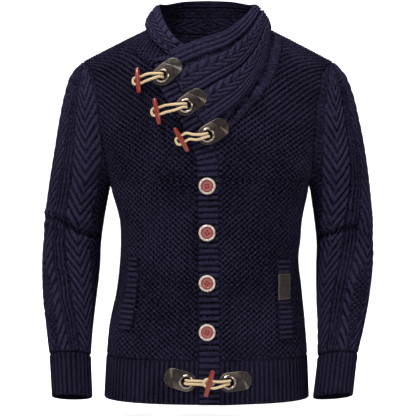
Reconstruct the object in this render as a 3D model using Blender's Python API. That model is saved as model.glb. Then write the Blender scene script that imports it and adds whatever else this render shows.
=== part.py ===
"""A chunky knit cardigan with a crossed shawl collar, filled out as if worn.

Metres, +Z up, the front towards -Y. The origin is between the shoulders at the height where the collar
leaves them. Left and right are the wearer's: the wearer's left is at +X, and laps over the right.
"""

import math

import bmesh
import bpy
import numpy as np
from mathutils import Matrix, Vector

# Driving dimensions
GAP = 0.0003            # between pieces that meet at a seam
KNIT = 0.003            # wall of the body and sleeves
RIBBED = 0.0035         # wall of the ribbed bands
FRONT, BACK = -1, 1
ROUNDNESS = 2.3         # exponent of the body's rounded sections
CROWN = {FRONT: 2.4, BACK: 2.8}  # how squarely each face turns over the shoulders
HEM_SEAM_Z = -0.594
HEM_Z = -0.670
ARMPIT_Z = -0.2815
SHOULDER_Z = -0.0596
CAP_Z = -0.0718         # the armhole narrows to the shoulder point above this
YOKE_Z = -0.270         # the body starts to close towards the shoulders above this
RIDGE_Z = 0.0586        # the shoulder line's height, run on to the middle
RIDGE_SLOPE = 0.512
RIDGE_BLEND = 0.030
ARM_DEPTH = 0.060       # half the armhole, front to back

PLACKET_HALF = 0.0188
PLACKET_RISE = 0.0016   # the placket's underside above the front below it
RIB_RISE = 0.0012
BODY_RIB = 0.0090       # from one rib to the next
PLACKET_RIB = 0.0105
WELT_RIB = 0.0092
LAP_END = 0.080         # the over front comes down to the body's surface here

COLLAR = 0.0052         # doubled cloth
UNDER_RISE = 0.0042     # the under collar's inner face above the front
OVER_RISE = 0.0050      # the over collar's outer face above the placket's inner face
CHEVRON = 0.022         # sleeve cable, from one chevron to the next
CHEVRON_DROP = 0.027    # how far a chevron's point hangs below its arms
CABLE_RISE = 0.0022

NAVY = (0.016, 0.014, 0.034)
LEATHER = (0.055, 0.040, 0.033)
COPPER = (0.28, 0.18, 0.13)
HORN = (0.62, 0.52, 0.38)
BRICK = (0.36, 0.055, 0.040)
WOOD = (0.42, 0.075, 0.025)
JUTE = (0.66, 0.48, 0.27)


def table(columns, rows):
    return {name: np.array([row[i] for row in rows], float) for i, name in enumerate(columns)}


# Body sections: half width, shift of the middle, and depth to the front and the back
BODY = table(
    ("z", "half", "shift", "front", "back"),
    [
        (-0.6750, 0.1868, -0.0027, 0.118, 0.114),
        (-0.5940, 0.1830, -0.0020, 0.116, 0.112),
        (-0.5446, 0.1790, -0.0012, 0.115, 0.110),
        (-0.4710, 0.1684, 0.0027, 0.113, 0.105),
        (-0.4121, 0.1628, 0.0028, 0.113, 0.101),
        (-0.3845, 0.1642, 0.0050, 0.115, 0.101),
        (-0.3588, 0.1656, 0.0055, 0.117, 0.103),
        (-0.2815, 0.1820, 0.0038, 0.124, 0.112),
        (-0.1930, 0.1900, 0.0, 0.127, 0.118),
        (-0.1160, 0.2005, 0.0, 0.126, 0.120),
        (-0.0718, 0.2150, 0.0, 0.125, 0.120),
        (-0.0596, 0.2289, 0.0, 0.124, 0.120),
        (0.0600, 0.2289, 0.0, 0.120, 0.118),
    ],
)

# Sleeves: outer and inner silhouette, middle depth, half depth and forward tilt at each station
SLEEVE_COLUMNS = ("t", "ox", "oz", "ix", "iz", "y", "depth", "tilt")
SLEEVE = {
    -1: table(SLEEVE_COLUMNS, [
        (0.00, -0.2289, -0.0596, -0.1782, -0.2815, 0.000, 0.060, 0),
        (0.06, -0.2500, -0.0830, -0.1795, -0.2845, 0.000, 0.060, 0),
        (0.13, -0.2625, -0.1200, -0.1810, -0.2875, 0.002, 0.060, 0),
        (0.21, -0.2722, -0.1670, -0.1822, -0.2930, 0.004, 0.060, 0),
        (0.30, -0.2805, -0.2180, -0.1850, -0.3070, 0.007, 0.059, 0),
        (0.39, -0.2895, -0.2700, -0.1895, -0.3290, 0.011, 0.058, 1),
        (0.48, -0.2970, -0.3220, -0.1945, -0.3580, 0.015, 0.056, 3),
        (0.57, -0.3020, -0.3740, -0.1990, -0.3930, 0.018, 0.054, 6),
        (0.66, -0.3045, -0.4280, -0.2005, -0.4340, 0.013, 0.052, 12),
        (0.76, -0.3015, -0.4870, -0.2056, -0.4890, -0.001, 0.048, 15),
        (0.88, -0.2945, -0.5430, -0.2105, -0.5430, -0.018, 0.043, 16),
        (1.00, -0.2870, -0.5930, -0.2130, -0.5930, -0.032, 0.039, 16),
        (1.15, -0.2795, -0.6680, -0.2088, -0.6680, -0.053, 0.036, 16),
    ]),
    1: table(SLEEVE_COLUMNS, [
        (0.00, 0.2289, -0.0596, 0.1858, -0.2815, 0.000, 0.060, 0),
        (0.06, 0.2500, -0.0820, 0.1868, -0.2850, 0.000, 0.060, 0),
        (0.13, 0.2650, -0.1180, 0.1880, -0.2890, 0.002, 0.060, 0),
        (0.21, 0.2765, -0.1650, 0.1895, -0.2955, 0.004, 0.060, 0),
        (0.30, 0.2865, -0.2150, 0.1915, -0.3090, 0.007, 0.059, 0),
        (0.39, 0.2945, -0.2680, 0.1950, -0.3310, 0.011, 0.058, 1),
        (0.48, 0.3005, -0.3220, 0.1990, -0.3590, 0.015, 0.056, 3),
        (0.57, 0.3040, -0.3760, 0.2022, -0.3930, 0.018, 0.054, 6),
        (0.66, 0.3038, -0.4300, 0.2008, -0.4350, 0.013, 0.052, 12),
        (0.76, 0.2960, -0.4880, 0.2000, -0.4900, -0.001, 0.048, 15),
        (0.88, 0.2835, -0.5450, 0.2010, -0.5450, -0.018, 0.043, 16),
        (1.00, 0.2712, -0.5910, 0.1997, -0.5950, -0.032, 0.039, 16),
        (1.15, 0.2595, -0.6650, 0.1895, -0.6690, -0.053, 0.036, 16),
    ]),
}
CUFF_T = 1.002

# The placket's middle line, up the front and then along the collar's slanting edge
PLACKET = table(
    ("x", "z"),
    [
        (0.0026, -0.6720), (0.0022, -0.5000), (0.0008, -0.3500), (0.0000, -0.2800), (-0.0020, -0.2450),
        (-0.0140, -0.2080), (-0.0310, -0.1780), (-0.0490, -0.1490), (-0.0650, -0.1215), (-0.0755, -0.0925),
        (-0.0820, -0.0600),
    ],
)

# Inner edges of the two fronts above the placket, hidden by the collar
NECKLINE = {
    1: table(("z", "x"), [
        (-0.1950, 0.0125), (-0.1700, 0.0160), (-0.1350, 0.0330), (-0.0980, 0.0550), (-0.0730, 0.0700),
        (-0.0450, 0.0820), (0.0060, 0.0980),
    ]),
    -1: table(("z", "x"), [
        (-0.2100, 0.0120), (-0.1600, 0.0050), (-0.1150, -0.0200), (-0.0750, -0.0450), (-0.0450, -0.0650),
        (-0.0200, -0.0850), (0.0060, -0.0980),
    ]),
}

# Plain knit neck bands on the fronts: their collar side and their body side
BAND_COLUMNS = ("s", "cx", "cz", "bx", "bz")
NECK_BAND = {
    1: table(BAND_COLUMNS, [
        (0, 0.1010, -0.0060, 0.1340, -0.0200), (1, 0.0850, -0.0420, 0.1300, -0.0540),
        (2, 0.0710, -0.0740, 0.1170, -0.0960), (3, 0.0560, -0.0990, 0.0950, -0.1310),
        (4, 0.0370, -0.1310, 0.0700, -0.1600), (5, 0.0190, -0.1650, 0.0470, -0.1830),
        (6, 0.0160, -0.1900, 0.0290, -0.1980),
    ]),
    -1: table(BAND_COLUMNS, [
        (0, -0.1010, -0.0130, -0.1340, -0.0240), (1, -0.0970, -0.0240, -0.1340, -0.0380),
        (2, -0.0880, -0.0340, -0.1300, -0.0520), (3, -0.0760, -0.0480, -0.1160, -0.0660),
        (4, -0.0640, -0.0640, -0.1000, -0.0800),
    ]),
}

# Outer faces of the collar halves, from the centre back round to the front: fold and lower edge
COLLAR_COLUMNS = ("s", "fx", "fy", "fz", "ex", "ey", "ez")
COLLARS = {
    1: table(COLLAR_COLUMNS, [
        (0, 0.0000, 0.088, 0.068, 0.0000, 0.100, -0.036),
        (1, 0.0460, 0.080, 0.065, 0.0620, 0.088, -0.033),
        (2, 0.0760, 0.052, 0.056, 0.1000, 0.061, -0.014),
        (3, 0.0880, 0.010, 0.050, 0.1150, 0.004, 0.0060),
        (4, 0.0805, -0.035, 0.038, 0.1080, -0.074, -0.0320),
        (5, 0.0640, -0.072, 0.015, 0.0905, -0.100, -0.0820),
        (6, 0.0300, -0.106, -0.014, 0.0640, -0.110, -0.1270),
        (7, -0.0200, -0.117, -0.031, 0.0350, -0.125, -0.1560),
        (8, -0.0620, -0.120, -0.0480, 0.0060, -0.130, -0.1780),
        (9, -0.1000, -0.120, -0.0660, -0.0250, -0.130, -0.1990),
    ]),
    -1: table(COLLAR_COLUMNS, [
        (0, 0.0000, 0.088, 0.068, 0.0000, 0.100, -0.036),
        (1, -0.0470, 0.080, 0.065, -0.0620, 0.088, -0.033),
        (2, -0.0780, 0.052, 0.056, -0.1000, 0.061, -0.014),
        (3, -0.0905, 0.012, 0.050, -0.1150, 0.004, 0.0075),
        (4, -0.0870, -0.032, 0.033, -0.1090, -0.050, -0.0120),
        (5, -0.0750, -0.070, 0.002, -0.0985, -0.076, -0.0290),
        (6, -0.0590, -0.090, -0.022, -0.0800, -0.092, -0.0480),
        (7, -0.0400, -0.096, -0.039, -0.0600, -0.098, -0.0700),
        (8, -0.0120, -0.098, -0.056, -0.0300, -0.102, -0.0950),
    ]),
}

# Pocket welts: front and side edge at each height
WELT = {
    1: table(("z", "front", "side"), [
        (-0.5611, 0.1235, 0.1500), (-0.5360, 0.1215, 0.1510), (-0.4900, 0.1205, 0.1475), (-0.4184, 0.1203, 0.1462),
    ]),
    -1: table(("z", "front", "side"), [
        (-0.5460, -0.1335, -0.1600), (-0.5120, -0.1273, -0.1546), (-0.4790, -0.1236, -0.1473),
        (-0.4131, -0.1212, -0.1400),
    ]),
}
PATCH = {"x": (0.1220, 0.1425), "z": (-0.4897, -0.4452), "thick": 0.0015}

BUTTON_Z = (-0.2888, -0.3704, -0.4596, -0.5451)
BUTTON_R, CORE_R = 0.0147, 0.0103

TAB_R, TAB_SPAN, TAB_THICK = 0.0170, 0.0240, 0.0018
EYELET_R, EYELET_HOLE = 0.0128, 0.0084
TOGGLE_HALF, TOGGLE_MID_R, TOGGLE_END_R = 0.0235, 0.0048, 0.0037
HOLE_APART, HOLE_R, CORD_R = 0.0085, 0.0029, 0.0024
# Fastenings: the eyelet and the far end of each tab, and the middle and lean of each toggle
TABS = table(
    ("x", "z", "far_x", "far_z"),
    [
        (-0.0805, -0.0965, -0.0620, -0.0812), (-0.0388, -0.1500, -0.0193, -0.1360),
        (-0.0010, -0.2010, 0.0196, -0.1887), (-0.0382, -0.6314, -0.0613, -0.6248),
        (0.0365, -0.6319, 0.0604, -0.6298),
    ],
)
TOGGLES = table(
    ("x", "z", "lean", "rise"),
    [
        (-0.1199, -0.1057, 5.0, 0.0105), (-0.0865, -0.1607, 10.9, 0.0125), (-0.0453, -0.2093, 29.5, 0.0115),
        (0.0021, -0.6329, -15.7, 0.0194),
    ],
)


def spline(at, knots, values):
    """A smooth curve through a table's column."""
    at = np.clip(np.asarray(at, float), knots[0], knots[-1])
    slope = np.gradient(values, knots)
    i = np.clip(np.searchsorted(knots, at, side="right") - 1, 0, len(knots) - 2)
    h = knots[i + 1] - knots[i]
    u = (at - knots[i]) / h
    rise = (2 * u**3 - 3 * u**2 + 1) * values[i] + (3 * u**2 - 2 * u**3) * values[i + 1]
    return rise + h * ((u**3 - 2 * u**2 + u) * slope[i] + (u**3 - u**2) * slope[i + 1])


def ease(u):
    u = np.clip(u, 0.0, 1.0)
    return u * u * (3 - 2 * u)


def power(value, exponent):
    return np.sign(value) * np.abs(value) ** exponent


# The body's surface

def body(name, z):
    return spline(z, BODY["z"], BODY[name])


def ridge(x, inset=0.0):
    return RIDGE_Z - RIDGE_SLOPE * np.sqrt(x * x + RIDGE_BLEND**2) - 1.12 * inset


def crown(x, z, face, inset=0.0):
    top = ridge(x, inset)
    share = np.clip((top - z) / (top - YOKE_Z), 0.0, 1.0)
    return (1 - (1 - share) ** CROWN[face]) ** (1 / CROWN[face])


def reach(z, face):
    """Half width of the section whose side passes through the armhole's edge."""
    low = np.minimum(z, CAP_Z)
    edge = body("half", low)
    share = np.clip((low - ARMPIT_Z) / (SHOULDER_Z - ARMPIT_Z), 0.0, 1.0)
    depth = ARM_DEPTH * (1 - np.abs(2 * share - 1) ** 2.4) ** (1 / 2.4)
    full = body("front" if face == FRONT else "back", low) * crown(edge, low, face)
    part = np.clip(depth / full, 0.0, 0.95)
    return edge / (1 - part**ROUNDNESS) ** (1 / ROUNDNESS)


def lap(x, z):
    """How far the over front stands out beside the placket."""
    return (RIBBED + PLACKET_RISE) * (1 - ease((x - 0.020) / (LAP_END - 0.020))) * (1 - ease((z + 0.215) / 0.06))


def torso(angle, z, face, inset=0.0, over=False):
    """A point of the body's outer face; the angle is 0 in the middle and 90 degrees at the side."""
    half = reach(z, face) - inset
    x = body("shift", z) + half * power(np.sin(angle), 2 / ROUNDNESS)
    deep = body("front" if face == FRONT else "back", z) - inset
    y = deep * crown(x, z, face, inset) * np.abs(np.cos(angle)) ** (2 / ROUNDNESS) + GAP / 2
    if over:
        y = y + lap(x, z)
    return np.stack([x, face * y, z + 0 * x], axis=-1)


def angle_at(x, z, face):
    share = np.clip((x - body("shift", z)) / reach(z, face), -1.0, 1.0)
    return np.arcsin(power(share, ROUNDNESS / 2))


def on_front(x, z, rise=0.0, over=False):
    """A point of the front at x and z, moved out along the surface's normal."""
    def depth(a, b):
        return torso(angle_at(a, b, FRONT), b, FRONT, 0.0, over)[..., 1]

    x, z = np.broadcast_arrays(np.asarray(x, float), np.asarray(z, float))
    step = 0.0005
    across = (depth(x + step, z) - depth(x - step, z)) / (2 * step)
    up = (depth(x, z + step) - depth(x, z - step)) / (2 * step)
    normal = np.stack([across, -np.ones_like(across), up], axis=-1)
    normal /= np.linalg.norm(normal, axis=-1, keepdims=True)
    return np.stack([x, depth(x, z), z], axis=-1) + np.asarray(rise)[..., None] * normal


def over_front(x, z, rise):
    """A point in front of x and z whose height square to the front is the rise."""
    def depth(a, b):
        return torso(angle_at(a, b, FRONT), b, FRONT)[..., 1]

    x, z, rise = np.broadcast_arrays(x, z, rise)
    step = 0.001
    across = (depth(x + step, z) - depth(x - step, z)) / (2 * step)
    up = (depth(x, z + step) - depth(x, z - step)) / (2 * step)
    slant = np.minimum(np.sqrt(1 + across**2 + up**2), 2.8)
    return np.stack([x, depth(x, z) - rise * slant, z], axis=-1)


def armhole(side, angle):
    """The armhole's edge; the angle is 0 at the shoulder, 90 degrees at the front, 180 at the armpit."""
    middle, half = (SHOULDER_Z + ARMPIT_Z) / 2, (SHOULDER_Z - ARMPIT_Z) / 2
    z = middle + half * np.cos(angle)
    x = body("shift", z) + side * body("half", z)
    front = torso(angle_at(x, z, FRONT), z, FRONT)[..., 1]
    back = torso(angle_at(x, z, BACK), z, BACK)[..., 1]
    y = np.where(np.sin(angle) > 0, front, back)
    return np.stack([x, np.where(np.abs(np.sin(angle)) < 1e-6, 0.0, y), z], axis=-1)


def armhole_mitre(side, angle):
    """From the armhole's outer edge to its inner edge, shared by the body and the sleeve."""
    return KNIT * np.stack(
        [-0.75 * side * np.abs(np.cos(angle)), np.sin(angle), -0.95 * np.cos(angle)], axis=-1
    )


# The sleeves' surface

def sleeve(side, t, angle, inset=0.0):
    rows = SLEEVE[side]

    def ring(at):
        ox, oz, ix, iz, y, depth, tilt = (spline(at, rows["t"], rows[c]) for c in SLEEVE_COLUMNS[1:])
        tilt = np.radians(tilt)
        wide = np.hypot(ox - ix, oz - iz) / 2
        shrink = (wide - inset) / wide
        middle = np.stack([(ox + ix) / 2, y, (oz + iz) / 2], axis=-1)
        out = np.stack([(ox - ix) / 2 * shrink, 0 * ox, (oz - iz) / 2 * shrink], axis=-1)
        fore = (depth - inset)[..., None] * np.stack([0 * ox, -np.cos(tilt), np.sin(tilt)], axis=-1)
        return middle + np.cos(angle)[..., None] * out + np.sin(angle)[..., None] * fore

    t, angle, inset = np.broadcast_arrays(t, angle, inset)
    start = armhole(side, angle) + (inset / KNIT)[..., None] * armhole_mitre(side, angle) - ring(0.0 * t)
    blend = 1 - ease(t / 0.3)
    return ring(t) + blend[..., None] * start


def elbow(t, angle):
    """Depth of the crease across the front of the elbow, with a swell above it."""
    front = np.clip(np.sin(angle), 0.0, 1.0)
    low = 0.560 + 0.030 * np.cos(angle + 0.6)
    crease = 0.0060 * np.exp(-(((t - low) / 0.026) ** 2))
    swell = 0.0040 * np.exp(-(((t - low + 0.060) / 0.036) ** 2))
    return front * (crease - swell)


# Meshes

def strip(first, second, first_at, second_at):
    """Triangles between two lines of points, by how far along each one its points are."""
    faces, i, j = [], 0, 0
    while i < len(first) - 1 or j < len(second) - 1:
        go_first = j == len(second) - 1 or (i < len(first) - 1 and first_at[i + 1] <= second_at[j + 1])
        if go_first:
            faces.append((first[i], first[i + 1], second[j]))
            i += 1
        else:
            faces.append((first[i], second[j + 1], second[j]))
            j += 1
    return faces


def grid_faces(index, closed):
    rows, columns = index.shape
    wrap = columns if closed else columns - 1
    return [
        (index[i, j], index[i, (j + 1) % columns], index[i + 1, (j + 1) % columns], index[i + 1, j])
        for i in range(rows - 1)
        for j in range(wrap)
    ]


def wall(outer, inner, across, up, closed=False):
    """Vertices and faces of a wall between two grids; across and up say where their columns and rows are."""
    number = np.arange(outer.shape[0] * outer.shape[1]).reshape(outer.shape[:2])
    lower = number.size + np.arange(inner.shape[0] * inner.shape[1]).reshape(inner.shape[:2])
    faces = grid_faces(number, closed) + grid_faces(lower, closed)
    for row in (0, -1):
        a, b = list(number[row]), list(lower[row])
        at_a, at_b = list(across[0]), list(across[1])
        if closed:
            a, b = a + a[:1], b + b[:1]
            at_a, at_b = at_a + [at_a[0] + 1e3], at_b + [at_b[0] + 1e3]
        faces += strip(a, b, at_a, at_b)
    if not closed:
        for column in (0, -1):
            faces += strip(list(number[:, column]), list(lower[:, column]), up[0], up[1])
    return np.concatenate([outer.reshape(-1, 3), inner.reshape(-1, 3)]), faces


def material(name, colour, roughness, metallic=0.0):
    made = bpy.data.materials.new(name)
    made.use_nodes = True
    shader = made.node_tree.nodes["Principled BSDF"]
    shader.inputs["Base Color"].default_value = (*colour, 1.0)
    shader.inputs["Roughness"].default_value = roughness
    shader.inputs["Metallic"].default_value = metallic
    return made


def add_object(name, vertices, faces, finish, matrix=None, sharp=40.0):
    mesh = bpy.data.meshes.new(name)
    mesh.from_pydata([tuple(map(float, v)) for v in vertices], [], [tuple(map(int, f)) for f in faces])
    shaped = bmesh.new()
    shaped.from_mesh(mesh)
    bmesh.ops.recalc_face_normals(shaped, faces=shaped.faces)
    bmesh.ops.triangulate(shaped, faces=shaped.faces)
    shaped.to_mesh(mesh)
    shaped.free()
    mesh.shade_smooth()
    mesh.set_sharp_from_angle(angle=math.radians(sharp))
    mesh.materials.append(finish)
    placed = bpy.data.objects.new(name, mesh)
    if matrix is not None:
        placed.matrix_world = matrix
    bpy.context.collection.objects.link(placed)
    return placed


def lathe(profile, segments):
    """Turns a closed profile of (radius, height) round Z; a radius of 0 is a pole."""
    vertices, rings = [], []
    for radius, height in profile:
        if radius == 0:
            rings.append([len(vertices)] * segments)
            vertices.append((0.0, 0.0, height))
            continue
        rings.append([len(vertices) + k for k in range(segments)])
        for k in range(segments):
            turn = 2 * math.pi * k / segments
            vertices.append((radius * math.cos(turn), radius * math.sin(turn), height))
    faces = []
    for a, b in zip(rings, rings[1:] + rings[:1]):
        for k in range(segments):
            face = (a[k], a[(k + 1) % segments], b[(k + 1) % segments], b[k])
            face = tuple(dict.fromkeys(face))
            if len(face) > 2:
                faces.append(face)
    return vertices, faces


def frame_at(point, normal, along):
    """A placing whose Z is the normal and whose X runs along a direction."""
    z = Vector(normal).normalized()
    x = (Vector(along) - Vector(along).dot(z) * z).normalized()
    y = z.cross(x)
    placed = Matrix((x, y, z)).transposed().to_4x4()
    placed.translation = Vector(point)
    return placed


# Body panels

def row_heights():
    """Heights at the side of each row of a panel: up the side seam, then round half the armhole."""
    low = np.linspace(HEM_SEAM_Z, ARMPIT_Z, 9)[:-1]
    turn = np.array(ARM_COLUMNS)[::-1]
    return low, (SHOULDER_Z + ARMPIT_Z) / 2 + (SHOULDER_Z - ARMPIT_Z) / 2 * np.cos(turn), turn


ARM_COLUMNS = np.radians([0, 26, 46, 60, 74, 101, 128, 154, 180])  # half way round a sleeve


def yoke_share(x, z):
    return (ridge(x) - z) / (ridge(x) - YOKE_Z)


def yoke_height(x, share, inset=0.0):
    return ridge(x, inset) - share * (ridge(x, inset) - YOKE_Z)


def placket_edge(z):
    """The placket's edge on the over front's side."""
    x, height, side_x, side_z, half, _ = placket_frame(np.linspace(0, 1, 200))
    return np.interp(z, height + side_z * half, x + side_x * half)


def inner_edge(side, z):
    clear = 0.0008 + 0.0018 * np.exp(-(((z + 0.247) / 0.03) ** 2))
    low = placket_edge(z) + clear if side > 0 else 0.0120 + 0 * z
    rows = NECKLINE[side]
    above = spline(z, rows["z"], rows["x"])
    blend = ease((z - rows["z"][0]) / 0.02 + 1)
    return (1 - blend) * low + blend * above


def front_panel(side, finish):
    low, high, turn = row_heights()
    columns_out, columns_in = np.linspace(0, 1, 11), np.linspace(0, 1, 6)
    neck_z = ridge(NECKLINE[side]["x"][-1])

    def grid(columns, inset):
        rows = []
        for z in low:
            start = angle_at(inner_edge(side, z), z, FRONT)
            rows.append(torso(start + (side * np.pi / 2 - start) * columns, z, FRONT, inset, side > 0))
        for z, angle in zip(high, turn):
            share = (z - ARMPIT_Z) / (SHOULDER_Z - ARMPIT_Z)
            z_in = ARMPIT_Z + (neck_z - ARMPIT_Z) * share
            x_in = inner_edge(side, z_in)
            x_out = body("shift", z) + side * body("half", z)
            heights = z_in + (z - z_in) * columns
            start, end = angle_at(x_in, z_in, FRONT), angle_at(x_out, z, FRONT)
            turned = start + (end - start) * columns
            x = body("shift", heights) + reach(heights, FRONT) * power(np.sin(turned), 2 / ROUNDNESS)
            part = yoke_share(x_in, z_in) + (yoke_share(x_out, z) - yoke_share(x_in, z_in)) * columns
            heights = yoke_height(x, part, inset)
            row = torso(angle_at(x, yoke_height(x, part), FRONT), yoke_height(x, part), FRONT, inset, side > 0)
            row[:, 2] = heights
            row[-1] = armhole(side, angle) + (armhole_mitre(side, angle) if inset else 0)
            row[-1, 0] -= side * GAP
            row[-1, 1] = min(row[-1, 1], -GAP / 2)
            rows.append(row)
        return np.stack(rows)

    up = np.arange(len(low) + len(high))
    shape = wall(grid(columns_out, 0.0), grid(columns_in, KNIT), (columns_out, columns_in), (up, up))
    return add_object("front_left" if side > 0 else "front_right", *shape, finish)


def back_panel(finish):
    low, high, turn = row_heights()
    columns_out, columns_in = np.linspace(-1, 1, 19), np.linspace(-1, 1, 9)

    def neckline_share(x):
        drop = 0.030 * (1 - np.clip(np.abs(x) / 0.100, 0, 1) ** 2)
        return drop / (ridge(x) - YOKE_Z) + np.clip(ridge(x) - ridge(0.100), 0, 1) / (ridge(x) - YOKE_Z)

    def grid(columns, inset):
        rows = [torso(np.pi / 2 * columns, z, BACK, inset) for z in low]
        for z, angle in zip(high, turn):
            end = angle_at(body("shift", z) + body("half", z), z, BACK)
            x = body("shift", z) + reach(z, BACK) * power(np.sin(end * columns), 2 / ROUNDNESS)
            part = yoke_share(body("half", z), z)
            part = part + neckline_share(x) * (1 - np.clip(part, 0, 1))
            heights = yoke_height(x, part, inset)
            row = torso(angle_at(x, yoke_height(x, part), BACK), yoke_height(x, part), BACK, inset)
            row[:, 2] = heights
            for k, side in ((0, -1), (-1, 1)):
                row[k] = armhole(side, -angle) + (armhole_mitre(side, -angle) if inset else 0)
                row[k, 0] -= side * GAP
                row[k, 1] = max(row[k, 1], GAP / 2)
            rows.append(row)
        return np.stack(rows)

    up = np.arange(len(low) + len(high))
    shape = wall(grid(columns_out, 0.0), grid(columns_in, KNIT), (columns_out, columns_in), (up, up))
    return add_object("back", *shape, finish)


# Ribbed hem

def even_angles(z, face, start, end, count):
    """Angles that space points evenly along a section of the body."""
    fine = np.linspace(start, end, 400)
    points = torso(fine, z + 0 * fine, face)
    along = np.concatenate([[0], np.cumsum(np.linalg.norm(np.diff(points, axis=0), axis=1))])
    return np.interp(np.linspace(0, along[-1], count), along, fine), along[-1]


def hem_piece(name, face, start, end, finish, over=False):
    middle = (HEM_SEAM_Z + HEM_Z) / 2
    _, length = even_angles(middle, face, start, end, 2)
    ribs = round(length / BODY_RIB)
    fine, _ = even_angles(middle, face, start, end, 2 * ribs + 1)
    coarse = fine[::8] if (2 * ribs) % 8 == 0 else np.append(fine[::8], fine[-1])
    levels = (HEM_Z, HEM_SEAM_Z - GAP)

    def grid(angles, inset):
        return np.stack([torso(angles, z, face, inset, over) for z in levels])

    relief = RIB_RISE * (np.arange(len(fine)) % 2)
    outer = np.stack([torso(fine, z, face, -relief, over) for z in levels])
    inner = grid(coarse, RIBBED)
    at = (fine, coarse) if end > start else (-fine, -coarse)
    return add_object(name, *wall(outer, inner, at, ([0, 1], [0, 1])), finish)


def hem(finish):
    quarter = np.pi / 2
    middle = (HEM_SEAM_Z + HEM_Z) / 2
    hem_piece("hem_back", BACK, -quarter, quarter, finish)
    left = angle_at(inner_edge(1, middle) + 0.0008, middle, FRONT)
    right = angle_at(inner_edge(-1, middle), middle, FRONT)
    hem_piece("hem_left", FRONT, left, quarter, finish, over=True)
    hem_piece("hem_right", FRONT, right, -quarter, finish)


# Sleeves and cuffs

def sleeve_columns():
    half = np.array(ARM_COLUMNS)
    return np.concatenate([half, 2 * np.pi - half[-2:0:-1]])


def chevron_drop(angle):
    """How far the cables hang: a point at the sleeve's top line and one half way to the inner side."""
    turn = np.abs((angle + np.pi) % (2 * np.pi) - np.pi)
    outer = np.clip(1 - turn / np.radians(46), 0, 1)
    front = np.clip(1 - np.abs(turn - np.radians(101)) / np.radians(27), 0, 1)
    return CHEVRON_DROP * (outer + front)


def sleeve_piece(side, finish):
    angles = sleeve_columns()
    turn = np.abs((angles + np.pi) % (2 * np.pi) - np.pi)
    length = 0.55
    rows = 2 * round(length / CHEVRON)
    at = np.linspace(0, 1, rows + 1)
    swing = np.sin(np.pi * at) ** 0.35
    t = at[:, None] - swing[:, None] * (CHEVRON_DROP / 2 - chevron_drop(angles))[None, :] / length
    t = np.clip(t, 0.0, 1.0)
    t[0], t[-1] = 0.0, 1.0
    cable = np.isin(np.round(np.degrees(turn)), (0, 26, 101, 128))
    rib = np.round(np.degrees(turn)) == 60
    rises = (np.arange(rows + 1) % 2)[:, None] * cable[None, :] * CABLE_RISE + rib[None, :] * 0.0018
    rises[[0, -1]] = 0
    spread = np.broadcast_to(angles, t.shape)
    plain = sleeve(side, t, spread)
    apart = np.gradient(plain, axis=0)
    close = np.clip(np.linalg.norm(apart, axis=-1) / (CHEVRON / 2), 0, 1)
    rises = rises * close**2 * (1 - 0.8 * np.exp(-(((at - 0.56) / 0.05) ** 2)))[:, None]
    outer = sleeve(side, t, spread, elbow(t, spread) - rises)
    inner_at = np.linspace(0, 1, 10)
    rows_in, spread_in = np.meshgrid(inner_at, angles, indexing="ij")
    inner = sleeve(side, rows_in, spread_in, KNIT + np.clip(elbow(rows_in, spread_in), 0, 1))
    inner[0] = armhole(side, angles) + armhole_mitre(side, angles)
    for edge in (outer, inner):
        edge[0, :, 0] += side * GAP
    shape = wall(outer, inner, (angles, angles), ([0], [0]), closed=True)
    return add_object("sleeve_left" if side > 0 else "sleeve_right", *shape, finish)


def cuff_piece(side, finish):
    start, end = CUFF_T, 1.15
    ribs = 26
    fine = np.linspace(0, 2 * np.pi, 2 * ribs, endpoint=False)
    coarse = fine[::4]
    rise = RIB_RISE * (np.arange(2 * ribs) % 2)
    levels = np.array([start, end])
    outer = sleeve(side, levels[:, None], fine[None, :], -rise[None, :] + 0 * levels[:, None])
    inner = sleeve(side, levels[:, None], coarse[None, :], RIBBED + 0 * levels[:, None] * coarse[None, :])
    shape = wall(outer, inner, (fine, coarse), ([0], [0]), closed=True)
    return add_object("cuff_left" if side > 0 else "cuff_right", *shape, finish)


# Placket and the pieces that lie on the fronts

def placket_rise(z):
    """The placket's underside above the front below it: more where the collar runs under it."""
    return PLACKET_RISE + 0.0086 * ease((z + 0.230) / 0.085) + 0.0060 * ease((z + 0.110) / 0.065)


def cover_rise(x, z):
    """The over collar's outer face above the front: more where it crosses the under collar."""
    alone = 0.0044 + COLLAR
    return alone + (placket_rise(z) + OVER_RISE - alone) * (1 - ease((x - 0.005) / 0.060))


def placket_frame(share):
    knots = np.concatenate([[0], np.cumsum(np.hypot(np.diff(PLACKET["x"]), np.diff(PLACKET["z"])))])
    at = share * knots[-1]
    x, z = spline(at, knots, PLACKET["x"]), spline(at, knots, PLACKET["z"])
    step = 0.002
    dx = spline(at + step, knots, PLACKET["x"]) - spline(at - step, knots, PLACKET["x"])
    dz = spline(at + step, knots, PLACKET["z"]) - spline(at - step, knots, PLACKET["z"])
    size = np.hypot(dx, dz)
    half = PLACKET_HALF - 0.0033 * ease((z + 0.235) / 0.06)
    return x, z, dz / size, -dx / size, half, knots[-1]


def placket(finish):
    length = placket_frame(np.zeros(1))[5]
    ribs = round(length / PLACKET_RIB)
    rows_out, rows_in = np.linspace(0, 1, 2 * ribs + 1), np.linspace(0, 1, ribs // 2 + 1)

    def grid(rows, across, rise):
        x, z, side_x, side_z, half, _ = placket_frame(rows)
        xs = x[:, None] + side_x[:, None] * half[:, None] * across[None, :]
        zs = z[:, None] + side_z[:, None] * half[:, None] * across[None, :]
        return over_front(xs, zs, placket_rise(zs) + rise)

    across = np.array([-1.0, 0.0, 1.0])
    relief = RIB_RISE * (np.arange(len(rows_out)) % 2)[:, None] + 0 * across[None, :]
    outer = grid(rows_out, across, RIBBED + relief)
    inner = grid(rows_in, across, 0 * rows_in[:, None] * across[None, :])
    return add_object("placket", *wall(outer, inner, (across, across), (rows_out, rows_in)), finish)


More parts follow.
